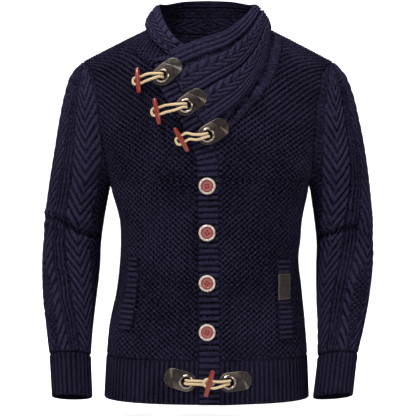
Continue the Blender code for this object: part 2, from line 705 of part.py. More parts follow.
def neck_band(side, finish):
    rows = NECK_BAND[side]
    at = np.linspace(0, rows["s"][-1], 12 if side > 0 else 7)
    across = np.linspace(0, 1, 4)

    def grid(rise):
        points = []
        for s in at:
            cx, cz, bx, bz = (spline(s, rows["s"], rows[c]) for c in BAND_COLUMNS[1:])
            points.append(on_front(cx + (bx - cx) * across, cz + (bz - cz) * across, rise + 0 * across, side > 0))
        return np.stack(points)

    low = 0.0016 if side > 0 else 0.0013
    shape = wall(grid(0.0033), grid(low), (across, across), (at, at))
    return add_object("neck_band_left" if side > 0 else "neck_band_right", *shape, finish)


def welt(side, finish):
    rows = WELT[side]
    low, high = rows["z"][0], rows["z"][-1]
    ribs = round((high - low) / WELT_RIB)
    heights, coarse = np.linspace(low, high, 2 * ribs + 1), np.linspace(low, high, ribs + 1)
    across = np.linspace(0, 1, 3)

    def grid(zs, rise):
        front, edge = spline(zs, rows["z"], rows["front"]), spline(zs, rows["z"], rows["side"])
        xs = front[:, None] + (edge - front)[:, None] * across[None, :]
        return on_front(xs, zs[:, None] + 0 * xs, rise)

    relief = RIB_RISE * (np.arange(len(heights)) % 2)[:, None] + 0 * across[None, :]
    outer = grid(heights, 0.0036 + relief)
    low = 0.0018 if side > 0 else 0.0011
    inner = grid(coarse, low + 0 * coarse[:, None] * across[None, :])
    shape = wall(outer, inner, (across, across), (heights, coarse))
    return add_object("welt_left" if side > 0 else "welt_right", *shape, finish)


def patch(finish):
    xs, zs = np.linspace(*PATCH["x"], 4), np.linspace(*PATCH["z"], 6)
    across, up = np.meshgrid(xs, zs)
    outer = on_front(across, up, 0.0052 + PATCH["thick"] + 0 * across)
    inner = on_front(across, up, 0.0052 + 0 * across)
    return add_object("patch", *wall(outer, inner, (xs, xs), (zs, zs)), finish)


# Collar

def collar_point(side, s, w):
    """The collar's outer face: s runs from the centre back to the front, w from the fold to the lower edge."""
    rows = COLLARS[side]
    fx, fy, fz, ex, ey, ez = (spline(s, rows["s"], rows[c]) for c in COLLAR_COLUMNS[1:])
    x, y, z = fx + (ex - fx) * w, fy + (ey - fy) * w, fz + (ez - fz) * w
    ends = ease((s - 6.2) / 1.1)
    bulge = 0.006 * 4 * w * (1 - w) * (1 - ends)
    out = np.hypot(x, y)
    x, y = x + bulge * x / out, y + bulge * y / out
    rise = cover_rise(x, z) if side > 0 else UNDER_RISE + COLLAR + 0 * z
    front = -over_front(x, z, rise)[..., 1]
    back = torso(angle_at(x, z, BACK), z, BACK)[..., 1] + COLLAR + 0.0030
    below = ease((ridge(x) - z) / 0.008 + 0.5)
    soft = 0.004

    def outside(depth, surface):
        pushed = (depth + surface + np.sqrt((depth - surface) ** 2 + soft**2)) / 2
        return depth + (pushed - depth) * below

    facing = ease(-y / 0.02 + 0.5)
    y = -facing * outside(-y, front) + (1 - facing) * outside(y, back)
    return np.stack([x, (1 - ends) * y - ends * front, z], axis=-1)


def collar_end(side, w):
    """Where each line along the collar stops: the over collar at the placket's edge."""
    if side < 0:
        return 8.0 + 0 * w
    low, high = 6.5 + 0 * w, 9.0 + 0 * w
    for _ in range(30):
        middle = (low + high) / 2
        point = collar_point(side, middle, w)
        inside = point[..., 0] > placket_edge(point[..., 2]) + 0.0006
        low, high = np.where(inside, middle, low), np.where(inside, high, middle)
    return low


def collar_folds(s, w):
    """Depth of the two folds that run along the front half of the collar."""
    first = np.exp(-(((w - 0.26) / 0.05) ** 2))
    second = np.exp(-(((w - 0.60) / 0.06) ** 2))
    return 0.0026 * ease((s - 2.4) / 1.5) * first + 0.0022 * ease((s - 3.2) / 1.5) * second


def collar_grid(side, share, w, inset):
    step = 1e-3
    start = 0.004
    ss = start + share[:, None] * (collar_end(side, w) - start)[None, :]
    ww = np.broadcast_to(w, ss.shape)
    along = collar_point(side, ss + step * 9, ww) - collar_point(side, ss - step * 9, ww)
    down = collar_point(side, ss, np.clip(ww + step, 0, 1)) - collar_point(side, ss, np.clip(ww - step, 0, 1))
    normal = np.cross(along, down) * side
    normal /= np.linalg.norm(normal, axis=-1, keepdims=True)
    fold = np.sqrt(1 - np.clip(1 - (ww + 0.02) / 0.10, 0, 1) ** 2)
    depth = COLLAR / 2 - fold * (COLLAR / 2 - inset) + (collar_folds(ss, ww) if inset == 0 else 0)
    points = collar_point(side, ss, ww) - depth[..., None] * normal
    points[0, :, 0] = side * 0.7 * GAP
    return points


def collar(side, finish):
    share = np.linspace(0, 1, 28)
    w_out = np.array([0.0, 0.04, 0.13, 0.26, 0.40, 0.50, 0.60, 0.80, 1.0])
    w_in = np.array([0.0, 0.04, 0.12, 0.35, 0.65, 1.0])
    shape = wall(
        collar_grid(side, share, w_out, 0.0), collar_grid(side, share, w_in, COLLAR), (w_out, w_in), (share, share)
    )
    return add_object("collar_left" if side > 0 else "collar_right", *shape, finish)


# Fastenings

def button(number, z, horn, brick):
    centre = on_front(np.float64(-0.0016), np.float64(z), PLACKET_RISE + RIBBED + RIB_RISE + GAP)
    upper = on_front(np.float64(-0.0016), np.float64(z + 0.01), 0.0)
    lower = on_front(np.float64(-0.0016), np.float64(z - 0.01), 0.0)
    rise = upper - lower
    placed = frame_at(centre, (0.0, -rise[2], rise[1]), (1, 0, 0))
    ring = [
        (CORE_R + GAP, 0.0), (BUTTON_R - 0.0012, 0.0), (BUTTON_R, 0.0014), (BUTTON_R - 0.0008, 0.0034),
        (BUTTON_R - 0.0024, 0.0042), (CORE_R + GAP, 0.0036),
    ]
    add_object(f"button_{number}", *lathe(ring, 16), horn, placed)
    disc = [(0, 0.0), (CORE_R, 0.0), (CORE_R, 0.0032), (0.0050, 0.0022), (0, 0.0022)]
    core = add_object(f"button_core_{number}", *lathe(disc, 16), brick, placed)
    for x, y in ((1, 1), (1, -1), (-1, 1), (-1, -1)):
        hole = lathe([(0, -0.002), (0.0010, -0.002), (0.0010, 0.006), (0, 0.006)], 5)
        shifted = placed @ Matrix.Translation((0.0022 * x, 0.0022 * y, 0))
        drill(core, f"thread_hole_{number}", hole, shifted)


def drill(target, name, shape, matrix):
    cutter = add_object(name, *shape, target.data.materials[0], matrix)
    cutter.hide_render = True
    cutter.display_type = "WIRE"
    cut = target.modifiers.new("hole", "BOOLEAN")
    cut.operation = "DIFFERENCE"
    cut.object = cutter


def tab_frame(index):
    """Where a tab's oval lies: its eyelet, and unit steps along and across it, in x and z."""
    place = np.array([TABS["x"][index], TABS["z"][index]])
    along = np.array([TABS["far_x"][index], TABS["far_z"][index]]) - place
    along = along / np.linalg.norm(along)
    return place, along, np.array([-along[1], along[0]])


def tab_curve(index):
    """The curved sheet that the tab's leather takes over what it lies on, as six coefficients."""
    place, along, side = tab_frame(index)
    u, v = np.meshgrid(np.linspace(-TAB_R, TAB_SPAN + TAB_R, 13), np.linspace(-TAB_R, TAB_R, 9))
    flat = place + u[..., None] * along + v[..., None] * side
    x, z = flat[..., 0].ravel(), flat[..., 1].ravel()
    rise = cover_rise(x, z) if index < 3 else RIB_RISE + 0 * z
    lapped = lap(x, z) if index == 4 else 0.0
    depth = over_front(x, z, rise + lapped)[:, 1]
    terms = np.stack([1 + 0 * x, x, z, x * x, x * z, z * z], axis=1)
    fitted = np.linalg.lstsq(terms, depth, rcond=None)[0]
    fitted[0] += np.min(depth - terms @ fitted) - 0.0004
    return fitted


def tab_point(index, x, z, rise):
    fitted = tab_curve(index)
    depth = sum(c * term for c, term in zip(fitted, (1, x, z, x * x, x * z, z * z)))
    return np.stack(np.broadcast_arrays(x, depth - rise, z), axis=-1)


def tab(index, finish):
    place, along, side = tab_frame(index)
    count, bands = 20, 3
    turns = 2 * np.pi * np.arange(count) / count
    hole = EYELET_HOLE + 0.0004
    rows = []
    for band in range(bands):
        share = band / (bands - 1)
        ring = []
        for turn in turns:
            u, v = math.cos(turn), math.sin(turn)
            far = TAB_R
            if u > 0:
                straight = TAB_R / max(abs(v), 1e-9)
                far = straight
                if straight * u > TAB_SPAN:
                    far = TAB_SPAN * u + math.sqrt(max(TAB_R**2 - (TAB_SPAN * v) ** 2, 0.0))
            size = hole + (far - hole) * share
            ring.append(place + size * (u * along + v * side))
        rows.append(ring)
    flat = np.array(rows)
    outer = tab_point(index, flat[..., 0], flat[..., 1], TAB_THICK)
    inner = tab_point(index, flat[..., 0], flat[..., 1], 0.0)
    shape = wall(outer, inner, (turns, turns), ([0], [0]), closed=True)
    return add_object(f"tab_{index + 1}", *shape, finish)


def eyelet_seat(index):
    """The eyelet's middle on its tab, and the way it faces."""
    x, z = TABS["x"][index], TABS["z"][index]
    step = 0.0005
    across = tab_point(index, x + step, z, 0.0) - tab_point(index, x - step, z, 0.0)
    up = tab_point(index, x, z + step, 0.0) - tab_point(index, x, z - step, 0.0)
    normal = np.cross(across, up)
    normal /= np.linalg.norm(normal)
    centre = tab_point(index, x, z, TAB_THICK)
    turn = np.linspace(0, 2 * np.pi, 24)
    rim = tab_point(index, x + EYELET_R * np.cos(turn), z + EYELET_R * np.sin(turn), TAB_THICK)
    proud = max(((rim - centre) @ normal).max(), 0.0)
    return centre + (proud + GAP) * normal, normal


def eyelet(index, finish):
    centre, normal = eyelet_seat(index)
    profile = [
        (EYELET_HOLE, 0.0), (EYELET_R, 0.0), (EYELET_R, 0.0006), (EYELET_R - 0.0014, 0.0020),
        (EYELET_R - 0.0030, 0.0024), (EYELET_HOLE, 0.0014),
    ]
    return add_object(f"eyelet_{index + 1}", *lathe(profile, 14), finish, frame_at(centre, normal, (1, 0, 0)))


def toggle_frame(index):
    """Middle, outward normal, direction along the toggle (upwards) and direction across it."""
    x, z, rise = TOGGLES["x"][index], TOGGLES["z"][index], TOGGLES["rise"][index]
    lean = math.radians(TOGGLES["lean"][index])
    up = np.array([-math.sin(lean), math.cos(lean)]) * 0.012
    middle = on_front(np.float64(x), np.float64(z), rise)
    top = on_front(x + up[0], z + up[1], rise)
    foot = on_front(x - up[0], z - up[1], rise)
    along = (top - foot) / np.linalg.norm(top - foot)
    normal = middle - on_front(np.float64(x), np.float64(z), 0.0)
    normal = normal - normal.dot(along) * along
    normal /= np.linalg.norm(normal)
    return middle, normal, along, np.cross(along, normal)


def toggle(index, finish):
    middle, normal, along, across = toggle_frame(index)
    placed = frame_at(middle, along, across)
    half, mid, end = TOGGLE_HALF, TOGGLE_MID_R, TOGGLE_END_R
    profile = [
        (0, -half), (end - 0.0005, -half), (end, -half + 0.0006), (mid, -0.2 * half), (mid, 0.2 * half),
        (end, half - 0.0006), (end - 0.0005, half), (0, half),
    ]
    made = add_object(f"toggle_{index + 1}", *lathe(profile, 12), finish, placed, sharp=50)
    for k in (-1, 1):
        bore = lathe([(0, -0.012), (HOLE_R, -0.012), (HOLE_R, 0.012), (0, 0.012)], 8)
        centre = Vector(middle) + k * HOLE_APART * Vector(along)
        drill(made, f"toggle_hole_{index + 1}", bore, frame_at(centre, across, along))


def cord_line(name, points, count, finish):
    """A round cord through chosen points."""
    points = np.array(points)
    knots = np.concatenate([[0], np.cumsum(np.linalg.norm(np.diff(points, axis=0), axis=1))])
    at = np.linspace(0, knots[-1], count)
    line = np.stack([spline(at, knots, points[:, k]) for k in range(3)], axis=1)
    curve = bpy.data.curves.new(name, "CURVE")
    curve.dimensions = "3D"
    curve.bevel_depth = CORD_R
    curve.bevel_resolution = 2
    curve.use_fill_caps = True
    path = curve.splines.new("POLY")
    path.points.add(count - 1)
    for point, place in zip(path.points, line):
        point.co = (*map(float, place), 1.0)
    curve.materials.append(finish)
    made = bpy.data.objects.new(name, curve)
    bpy.context.collection.objects.link(made)
    return made


def toggle_cord(index, tab_index, finish):
    """From the eyelet through both of the toggle's holes and back."""
    middle, normal, along, across = toggle_frame(index)
    centre, lift = eyelet_seat(tab_index)
    toward = centre - middle
    outward = across if across.dot(toward) > 0 else -across

    def strand(k):
        hole = middle + k * HOLE_APART * along
        pair = along - along.dot(lift) * lift
        root = centre + k * 0.0030 * pair
        leave = toward - toward.dot(lift) * lift
        leave /= np.linalg.norm(leave)
        return [
            root - (0.0022 if tab_index < 3 else 0.0017) * lift + 0.0015 * leave,
            root + 0.0022 * lift,
            root + 0.0068 * lift - 0.0050 * leave,
            centre + k * 0.0042 * pair + 0.0064 * lift - 0.0130 * leave,
            centre + k * 0.0050 * pair + 0.0052 * lift - 0.0190 * leave,
            hole + 0.0110 * outward + 0.0030 * normal,
            hole + 0.0070 * outward,
            hole,
            hole - 0.0062 * outward,
        ]

    first, second = strand(1), strand(-1)
    bend = [
        middle + 0.0062 * along - 0.0092 * outward,
        middle - 0.0102 * outward,
        middle - 0.0062 * along - 0.0092 * outward,
    ]
    return cord_line(f"cord_{index + 1}", first + bend + second[::-1], 28, finish)


def hem_loop(finish):
    """The under front's loop, which passes below the hem's toggle."""
    middle, normal, along, across = toggle_frame(3)
    centre, lift = eyelet_seat(3)
    toward = middle - centre
    leave = toward - toward.dot(normal) * normal
    leave /= np.linalg.norm(leave)
    level = middle - 0.0083 * normal

    def strand(k):
        side = k * 0.0029 * along
        return [
            centre + side - 0.0017 * lift - 0.0015 * leave,
            centre + side + 0.0022 * lift,
            centre + side + 0.0062 * lift + 0.0050 * leave,
            centre + side + 0.0066 * lift + 0.0140 * leave,
            level + side - 0.0140 * leave,
            level + side,
            level + side + 0.0045 * leave + 0.0005 * normal,
        ]

    tip = [level + 0.0078 * leave + 0.0010 * normal]
    return cord_line("cord_5", strand(1) + tip + strand(-1)[::-1], 24, finish)


def build():
    for item in list(bpy.data.objects):
        bpy.data.objects.remove(item, do_unlink=True)
    rice = material("rice_stitch_knit", NAVY, 0.9)
    ribbed = material("ribbed_knit", NAVY, 0.88)
    cabled = material("cable_knit", NAVY, 0.9)
    plain = material("plain_knit", NAVY, 0.88)
    leather = material("leather", LEATHER, 0.45)
    copper = material("antique_copper", COPPER, 0.35, 1.0)
    horn = material("horn", HORN, 0.35)
    brick = material("brick_core", BRICK, 0.4)
    wood = material("stained_wood", WOOD, 0.3)
    jute = material("jute", JUTE, 0.85)
    back_panel(rice)
    for side in (-1, 1):
        front_panel(side, rice)
        sleeve_piece(side, cabled)
        cuff_piece(side, ribbed)
        neck_band(side, plain)
        collar(side, cabled)
        welt(side, ribbed)
    hem(ribbed)
    placket(ribbed)
    patch(leather)
    for number, z in enumerate(BUTTON_Z, 1):
        button(number, z, horn, brick)
    for index in range(5):
        tab(index, leather)
        eyelet(index, copper)
    for index in range(4):
        toggle(index, wood)
        toggle_cord(index, index if index < 3 else 4, jute)
    hem_loop(jute)


build()
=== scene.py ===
import math

import bmesh
import bpy
import numpy as np
from mathutils import Matrix, Vector


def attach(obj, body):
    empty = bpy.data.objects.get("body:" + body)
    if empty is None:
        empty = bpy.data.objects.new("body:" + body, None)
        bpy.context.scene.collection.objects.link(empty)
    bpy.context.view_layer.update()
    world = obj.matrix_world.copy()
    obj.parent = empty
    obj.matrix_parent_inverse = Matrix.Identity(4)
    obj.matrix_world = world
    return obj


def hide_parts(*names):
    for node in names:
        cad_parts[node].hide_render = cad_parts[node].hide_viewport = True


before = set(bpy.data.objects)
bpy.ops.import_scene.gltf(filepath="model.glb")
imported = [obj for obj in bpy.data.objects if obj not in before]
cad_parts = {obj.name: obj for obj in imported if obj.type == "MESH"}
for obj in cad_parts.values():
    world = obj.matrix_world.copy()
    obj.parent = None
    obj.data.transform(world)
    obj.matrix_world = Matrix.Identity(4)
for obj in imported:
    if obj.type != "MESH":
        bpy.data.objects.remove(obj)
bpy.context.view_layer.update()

# A chunky knit cardigan on an unseen figure: metres, Z up, front towards -Y, the wearer's left at +X.

front, back = -1, 1
seamGap = 0.0003
bodyWall = 0.003
ribbedWall = 0.0035
collarWall = 0.0052


plainColumns = ("s", "t", "tilt", "turn")  # every other column is in millimetres


def table(columns, text):
    names = columns.split()
    rows = np.array(text.split(), float).reshape(-1, len(names))
    return {name: np.round(rows[:, i] / (1 if name in plainColumns else 1000), 7) for i, name in enumerate(names)}


def lines(text):  # grooves: depth, width, then the points x and z of the path, in millimetres
    rows = [np.round(np.array(row.split(), float) / 1000, 7) for row in text.strip().splitlines()]
    return [(row[2:].reshape(-1, 2), row[0], row[1]) for row in rows]


bodyForm = {
    "roundness": 2.3,                      # how square the level sections are
    "crown": {front: 2.4, back: 2.8},      # how squarely each face turns over the shoulders
    "hemSeam": -0.594, "hem": -0.67, "armpit": -0.2815, "shoulder": -0.0596, "cap": -0.0718, "yoke": -0.27,
    "ridge": 0.0586, "ridgeSlope": 0.512, "ridgeBlend": 0.03, "armDepth": 0.06,
    "sections": table("z half shift front back", """        -675 186.8 -2.7 118 114
    -594 183 -2 116 112
    -544.6 179 -1.2 115 110
    -471 168.4 2.7 113 105
    -412.1 162.8 2.8 113 101
    -384.5 164.2 5 115 101
    -358.8 165.6 5.5 117 103
    -281.5 182 3.8 124 112
    -193 190 0 127 118
    -116 200.5 0 126 120
    -71.8 215 0 125 120
    -59.6 228.9 0 124 120
    60 228.9 0 120 118"""),
}

hemSeam, armpit, shoulder, yoke, roundness = (
    bodyForm[part] for part in ("hemSeam", "armpit", "shoulder", "yoke", "roundness")
)

sleeveColumns = "t ox oz ix iz y depth tilt"
sleeveForm = {
    -1: table(sleeveColumns, """        0 -228.9 -59.6 -178.2 -281.5 0 60 0
    0.06 -250 -83 -179.5 -284.5 0 60 0
    0.13 -262.5 -120 -181 -287.5 2 60 0
    0.21 -272.2 -167 -182.2 -293 4 60 0
    0.3 -280.5 -218 -185 -307 7 59 0
    0.39 -289.5 -270 -189.5 -329 11 58 1
    0.48 -297 -322 -194.5 -358 15 56 3
    0.57 -302 -374 -199 -393 18 54 6
    0.66 -304.5 -428 -200.5 -434 13 52 12
    0.76 -301.5 -487 -205.6 -489 -1 48 15
    0.88 -294.5 -543 -210.5 -543 -18 43 16
    1 -287 -593 -213 -593 -32 39 16
    1.15 -279.5 -668 -208.8 -668 -53 36 16"""),
    1: table(sleeveColumns, """        0 228.9 -59.6 185.8 -281.5 0 60 0
    0.06 250 -82 186.8 -285 0 60 0
    0.13 265 -118 188 -289 2 60 0
    0.21 276.5 -165 189.5 -295.5 4 60 0
    0.3 286.5 -215 191.5 -309 7 59 0
    0.39 294.5 -268 195 -331 11 58 1
    0.48 300.5 -322 199 -359 15 56 3
    0.57 304 -376 202.2 -393 18 54 6
    0.66 303.8 -430 200.8 -435 13 52 12
    0.76 296 -488 200 -490 -1 48 15
    0.88 283.5 -545 201 -545 -18 43 16
    1 271.2 -591 199.7 -595 -32 39 16
    1.15 259.5 -665 189.5 -669 -53 36 16"""),
}
placketLine = table("x z", """    2.6 -672
    2.2 -500
    0.8 -350
    0 -280
    -2 -245
    -14 -208
    -31 -178
    -49 -149
    -65 -121.5
    -75.5 -92.5
    -82 -60""")
placketHalf, placketLift, ribRise, lapEnd = 0.0188, 0.0016, 0.0012, 0.08

neckline = {
    1: table("z x", """        -195 12.5
    -170 16
    -135 33
    -98 55
    -73 70
    -45 82
    6 98"""),
    -1: table("z x", """        -210 12
    -160 5
    -115 -20
    -75 -45
    -45 -65
    -20 -85
    6 -98"""),
}
bandColumns = "s cx cz bx bz"
neckBandForm = {
    1: table(bandColumns, """        0 101 -6 134 -20
    1 85 -42 130 -54
    2 71 -74 117 -96
    3 56 -99 95 -131
    4 37 -131 70 -160
    5 19 -165 47 -183
    6 16 -190 29 -198"""),
    -1: table(bandColumns, """        0 -101 -13 -134 -24
    1 -97 -24 -134 -38
    2 -88 -34 -130 -52
    3 -76 -48 -116 -66
    4 -64 -64 -100 -80"""),
}
collarColumns = "s fx fy fz ex ey ez"
collarForm = {
    1: table(collarColumns, """        0 0 88 68 0 100 -36
    1 46 80 65 62 88 -33
    2 76 52 56 100 61 -14
    3 88 10 50 115 4 6
    4 80.5 -35 38 108 -74 -32
    5 64 -72 15 90.5 -100 -82
    6 30 -106 -14 64 -110 -127
    7 -20 -117 -31 35 -125 -156
    8 -62 -120 -48 6 -130 -178
    9 -100 -120 -66 -25 -130 -199"""),
    -1: table(collarColumns, """        0 0 88 68 0 100 -36
    1 -47 80 65 -62 88 -33
    2 -78 52 56 -100 61 -14
    3 -90.5 12 50 -115 4 7.5
    4 -87 -32 33 -109 -50 -12
    5 -75 -70 2 -98.5 -76 -29
    6 -59 -90 -22 -80 -92 -48
    7 -40 -96 -39 -60 -98 -70
    8 -12 -98 -56 -30 -102 -95"""),
}
weltForm = {
    1: table("z front side", """        -561.1 123.5 150
    -536 121.5 151
    -490 120.5 147.5
    -418.4 120.3 146.2"""),
    -1: table("z front side", """        -546 -133.5 -160
    -512 -127.3 -154.6
    -479 -123.6 -147.3
    -413.1 -121.2 -140"""),
}
tabForm = {
    "radius": 0.017, "span": 0.024, "thick": 0.0018, "eyelet": 0.0128, "hole": 0.0084,
    "places": [  # eyelet and far end, x and z
        (-0.0805, -0.0965, -0.062, -0.0812), (-0.0388, -0.15, -0.0193, -0.136),
        (-0.001, -0.201, 0.0196, -0.1887), (-0.0382, -0.6314, -0.0613, -0.6248), (0.0365, -0.6319, 0.0604, -0.6298),
    ],
}
toggleForm = {
    "half": 0.0235, "middle": 0.0048, "end": 0.0037, "apart": 0.006, "hole": 0.0029,
    "places": [  # x, z, lean in degrees, height above the front
        (-0.1199, -0.1057, 5.0, 0.0105), (-0.0865, -0.1607, 10.9, 0.0125), (-0.0453, -0.2093, 29.5, 0.0115),
        (0.0021, -0.6329, -15.7, 0.0194),
    ],
}


def spline(at, knots, values):
    at = np.clip(np.asarray(at, float), knots[0], knots[-1])
    slope = np.gradient(values, knots)
    i = np.clip(np.searchsorted(knots, at, side="right") - 1, 0, len(knots) - 2)
    h = knots[i + 1] - knots[i]
    u = (at - knots[i]) / h
    rise = (2 * u**3 - 3 * u**2 + 1) * values[i] + (3 * u**2 - 2 * u**3) * values[i + 1]
    return rise + h * ((u**3 - 2 * u**2 + u) * slope[i] + (u**3 - u**2) * slope[i + 1])


def ease(u):
    u = np.clip(u, 0.0, 1.0)
    return u * u * (3 - 2 * u)


def power(value, exponent):
    return np.sign(value) * np.abs(value) ** exponent


# The body's surface

def section(name, z):
    return spline(z, bodyForm["sections"]["z"], bodyForm["sections"][name])


def deepest(z, face):
    return section("front" if face == front else "back", z)


def ridge(x, inset=0.0):
    return bodyForm["ridge"] - bodyForm["ridgeSlope"] * np.sqrt(x * x + bodyForm["ridgeBlend"]**2) - 1.12 * inset


def crownAt(x, z, face, inset=0.0):
    top = ridge(x, inset)
    share = np.clip((top - z) / (top - yoke), 0.0, 1.0)
    turn = bodyForm["crown"][face]
    return (1 - (1 - share) ** turn) ** (1 / turn)


def reach(z, face):
    low = np.minimum(z, bodyForm["cap"])
    edge = section("half", low)
    share = np.clip((low - armpit) / (shoulder - armpit), 0.0, 1.0)
    depth = bodyForm["armDepth"] * (1 - np.abs(2 * share - 1) ** 2.4) ** (1 / 2.4)
    part = np.clip(depth / (deepest(low, face) * crownAt(edge, low, face)), 0.0, 0.95)
    return edge / (1 - part ** roundness) ** (1 / roundness)


def lapAt(x, z):  # how far the over front stands out beside the placket
    return (ribbedWall + placketLift) * (1 - ease((x - 0.02) / (lapEnd - 0.02))) * (1 - ease((z + 0.215) / 0.06))


def torso(angle, z, face, inset=0.0, over=False):  # the angle is 0 in the middle and 90 degrees at the side
    x = section("shift", z) + (reach(z, face) - inset) * power(np.sin(angle), 2 / roundness)
    y = (deepest(z, face) - inset) * crownAt(x, z, face, inset)
    y = y * np.abs(np.cos(angle)) ** (2 / roundness) + seamGap / 2
    if over:
        y = y + lapAt(x, z)
    return np.stack([x, face * y, z + 0 * x], axis=-1)


def angleAt(x, z, face):
    share = np.clip((x - section("shift", z)) / reach(z, face), -1.0, 1.0)
    return np.arcsin(power(share, roundness / 2))


def frontSlopes(x, z, step, over=False):  # depth of the front, and how it changes across and up
    def depth(a, b):
        return torso(angleAt(a, b, front), b, front, 0.0, over)[..., 1]

    across = (depth(x + step, z) - depth(x - step, z)) / (2 * step)
    return depth(x, z), across, (depth(x, z + step) - depth(x, z - step)) / (2 * step)


def onFront(x, z, rise=0.0, over=False):  # a point of the front, moved out along the surface's normal
    x, z = np.broadcast_arrays(np.asarray(x, float), np.asarray(z, float))
    depth, across, up = frontSlopes(x, z, 0.0005, over)
    normal = np.stack([across, -np.ones_like(across), up], axis=-1)
    normal /= np.linalg.norm(normal, axis=-1, keepdims=True)
    return np.stack([x, depth, z], axis=-1) + np.asarray(rise)[..., None] * normal


def overFront(x, z, rise):  # in front of x and z, at a height square to the front
    x, z, rise = np.broadcast_arrays(x, z, rise)
    depth, across, up = frontSlopes(x, z, 0.001)
    slant = np.minimum(np.sqrt(1 + across**2 + up**2), 2.8)
    return np.stack([x, depth - rise * slant, z], axis=-1)


def armhole(side, angle):  # 0 at the shoulder, 90 degrees at the front, 180 at the armpit
    middle = (shoulder + armpit) / 2
    z = middle + (shoulder - armpit) / 2 * np.cos(angle)
    x = section("shift", z) + side * section("half", z)
    ahead = torso(angleAt(x, z, front), z, front)[..., 1]
    behind = torso(angleAt(x, z, back), z, back)[..., 1]
    y = np.where(np.sin(angle) > 0, ahead, behind)
    return np.stack([x, np.where(np.abs(np.sin(angle)) < 1e-6, 0.0, y), z], axis=-1)


def armholeMitre(side, angle):
    return bodyWall * np.stack(
        [-0.75 * side * np.abs(np.cos(angle)), np.sin(angle), -0.95 * np.cos(angle)], axis=-1
    )


def sleeveAt(side, t, angle, inset=0.0):
    rows = sleeveForm[side]

    def ring(at):
        ox, oz, ix, iz, y, depth, tilt = (spline(at, rows["t"], rows[c]) for c in sleeveColumns.split()[1:])
        tilt = np.radians(tilt)
        wide = np.hypot(ox - ix, oz - iz) / 2
        shrink = (wide - inset) / wide
        middle = np.stack([(ox + ix) / 2, y, (oz + iz) / 2], axis=-1)
        out = np.stack([(ox - ix) / 2 * shrink, 0 * ox, (oz - iz) / 2 * shrink], axis=-1)
        fore = (depth - inset)[..., None] * np.stack([0 * ox, -np.cos(tilt), np.sin(tilt)], axis=-1)
        return middle + np.cos(angle)[..., None] * out + np.sin(angle)[..., None] * fore

    t, angle, inset = np.broadcast_arrays(t, angle, inset)
    start = armhole(side, angle) + (inset / bodyWall)[..., None] * armholeMitre(side, angle) - ring(0.0 * t)
    return ring(t) + (1 - ease(t / 0.3))[..., None] * start


def elbowAt(t, angle):  # depth of the crease across the front of the elbow, with a swell above it
    ahead = np.clip(np.sin(angle), 0.0, 1.0)
    low = 0.56 + 0.03 * np.cos(angle + 0.6)
    crease = 0.006 * np.exp(-(((t - low) / 0.026) ** 2))
    swell = 0.004 * np.exp(-(((t - low + 0.06) / 0.036) ** 2))
    return ahead * (crease - swell)


def placketFrame(share):
    knots = np.concatenate([[0], np.cumsum(np.hypot(np.diff(placketLine["x"]), np.diff(placketLine["z"])))])
    at = share * knots[-1]
    x, z = spline(at, knots, placketLine["x"]), spline(at, knots, placketLine["z"])
    step = 0.002
    dx = spline(at + step, knots, placketLine["x"]) - spline(at - step, knots, placketLine["x"])
    dz = spline(at + step, knots, placketLine["z"]) - spline(at - step, knots, placketLine["z"])
    size = np.hypot(dx, dz)
    half = placketHalf - 0.0033 * ease((z + 0.235) / 0.06)
    return x, z, dz / size, -dx / size, half, knots[-1]


edgeX, edgeZ, edgeSideX, edgeSideZ, edgeHalf, placketLength = placketFrame(np.linspace(0, 1, 200))


def placketEdge(z):
    return np.interp(z, edgeZ + edgeSideZ * edgeHalf, edgeX + edgeSideX * edgeHalf)


def innerEdge(side, z):
    clear = -0.001  # the band is sewn on, so the edges overlap
    low = placketEdge(z) + clear if side > 0 else 0.012 + 0 * z
    rows = neckline[side]
    above = spline(z, rows["z"], rows["x"])
    blend = ease((z - rows["z"][0]) / 0.02 + 1)
    return (1 - blend) * low + blend * above


def placketRise(z):
    return placketLift + 0.0086 * ease((z + 0.23) / 0.085) + 0.006 * ease((z + 0.11) / 0.065)


def coverRise(x, z):
    alone = 0.0044 + collarWall
    return alone + (placketRise(z) + 0.005 - alone) * (1 - ease((x - 0.005) / 0.06))


def collarPoint(side, s, w):  # s runs from the centre back to the front, w from the fold to the lower edge
    rows = collarForm[side]
    fx, fy, fz, ex, ey, ez = (spline(s, rows["s"], rows[c]) for c in collarColumns.split()[1:])
    x, y, z = fx + (ex - fx) * w, fy + (ey - fy) * w, fz + (ez - fz) * w
    ends = ease((s - 6.2) / 1.1)
    bulge = 0.006 * 4 * w * (1 - w) * (1 - ends)
    out = np.hypot(x, y)
    x, y = x + bulge * x / out, y + bulge * y / out
    rise = coverRise(x, z) if side > 0 else 0.0042 + collarWall + 0 * z
    ahead = -overFront(x, z, rise)[..., 1]
    behind = torso(angleAt(x, z, back), z, back)[..., 1] + collarWall + 0.003
    below = ease((ridge(x) - z) / 0.008 + 0.5)

    def outside(depth, surface):
        pushed = (depth + surface + np.sqrt((depth - surface) ** 2 + 0.004**2)) / 2
        return depth + (pushed - depth) * below

    facing = ease(-y / 0.02 + 0.5)
    y = -facing * outside(-y, ahead) + (1 - facing) * outside(y, behind)
    return np.stack([x, (1 - ends) * y - ends * ahead, z], axis=-1)


def collarEnd(side, w):
    if side < 0:
        return 8.0 + 0 * w
    low, high = 6.5 + 0 * w, 9.0 + 0 * w
    for _ in range(30):
        middle = (low + high) / 2
        point = collarPoint(side, middle, w)
        inside = point[..., 0] > placketEdge(point[..., 2]) + 0.0006
        low, high = np.where(inside, middle, low), np.where(inside, high, middle)
    return low


# Small tools

def hand(side):
    return "left" if side > 0 else "right"


def sink(height, near, depth):  # relief dies away towards an edge, which lies a little lower
    return height * near - depth * (1 - near)


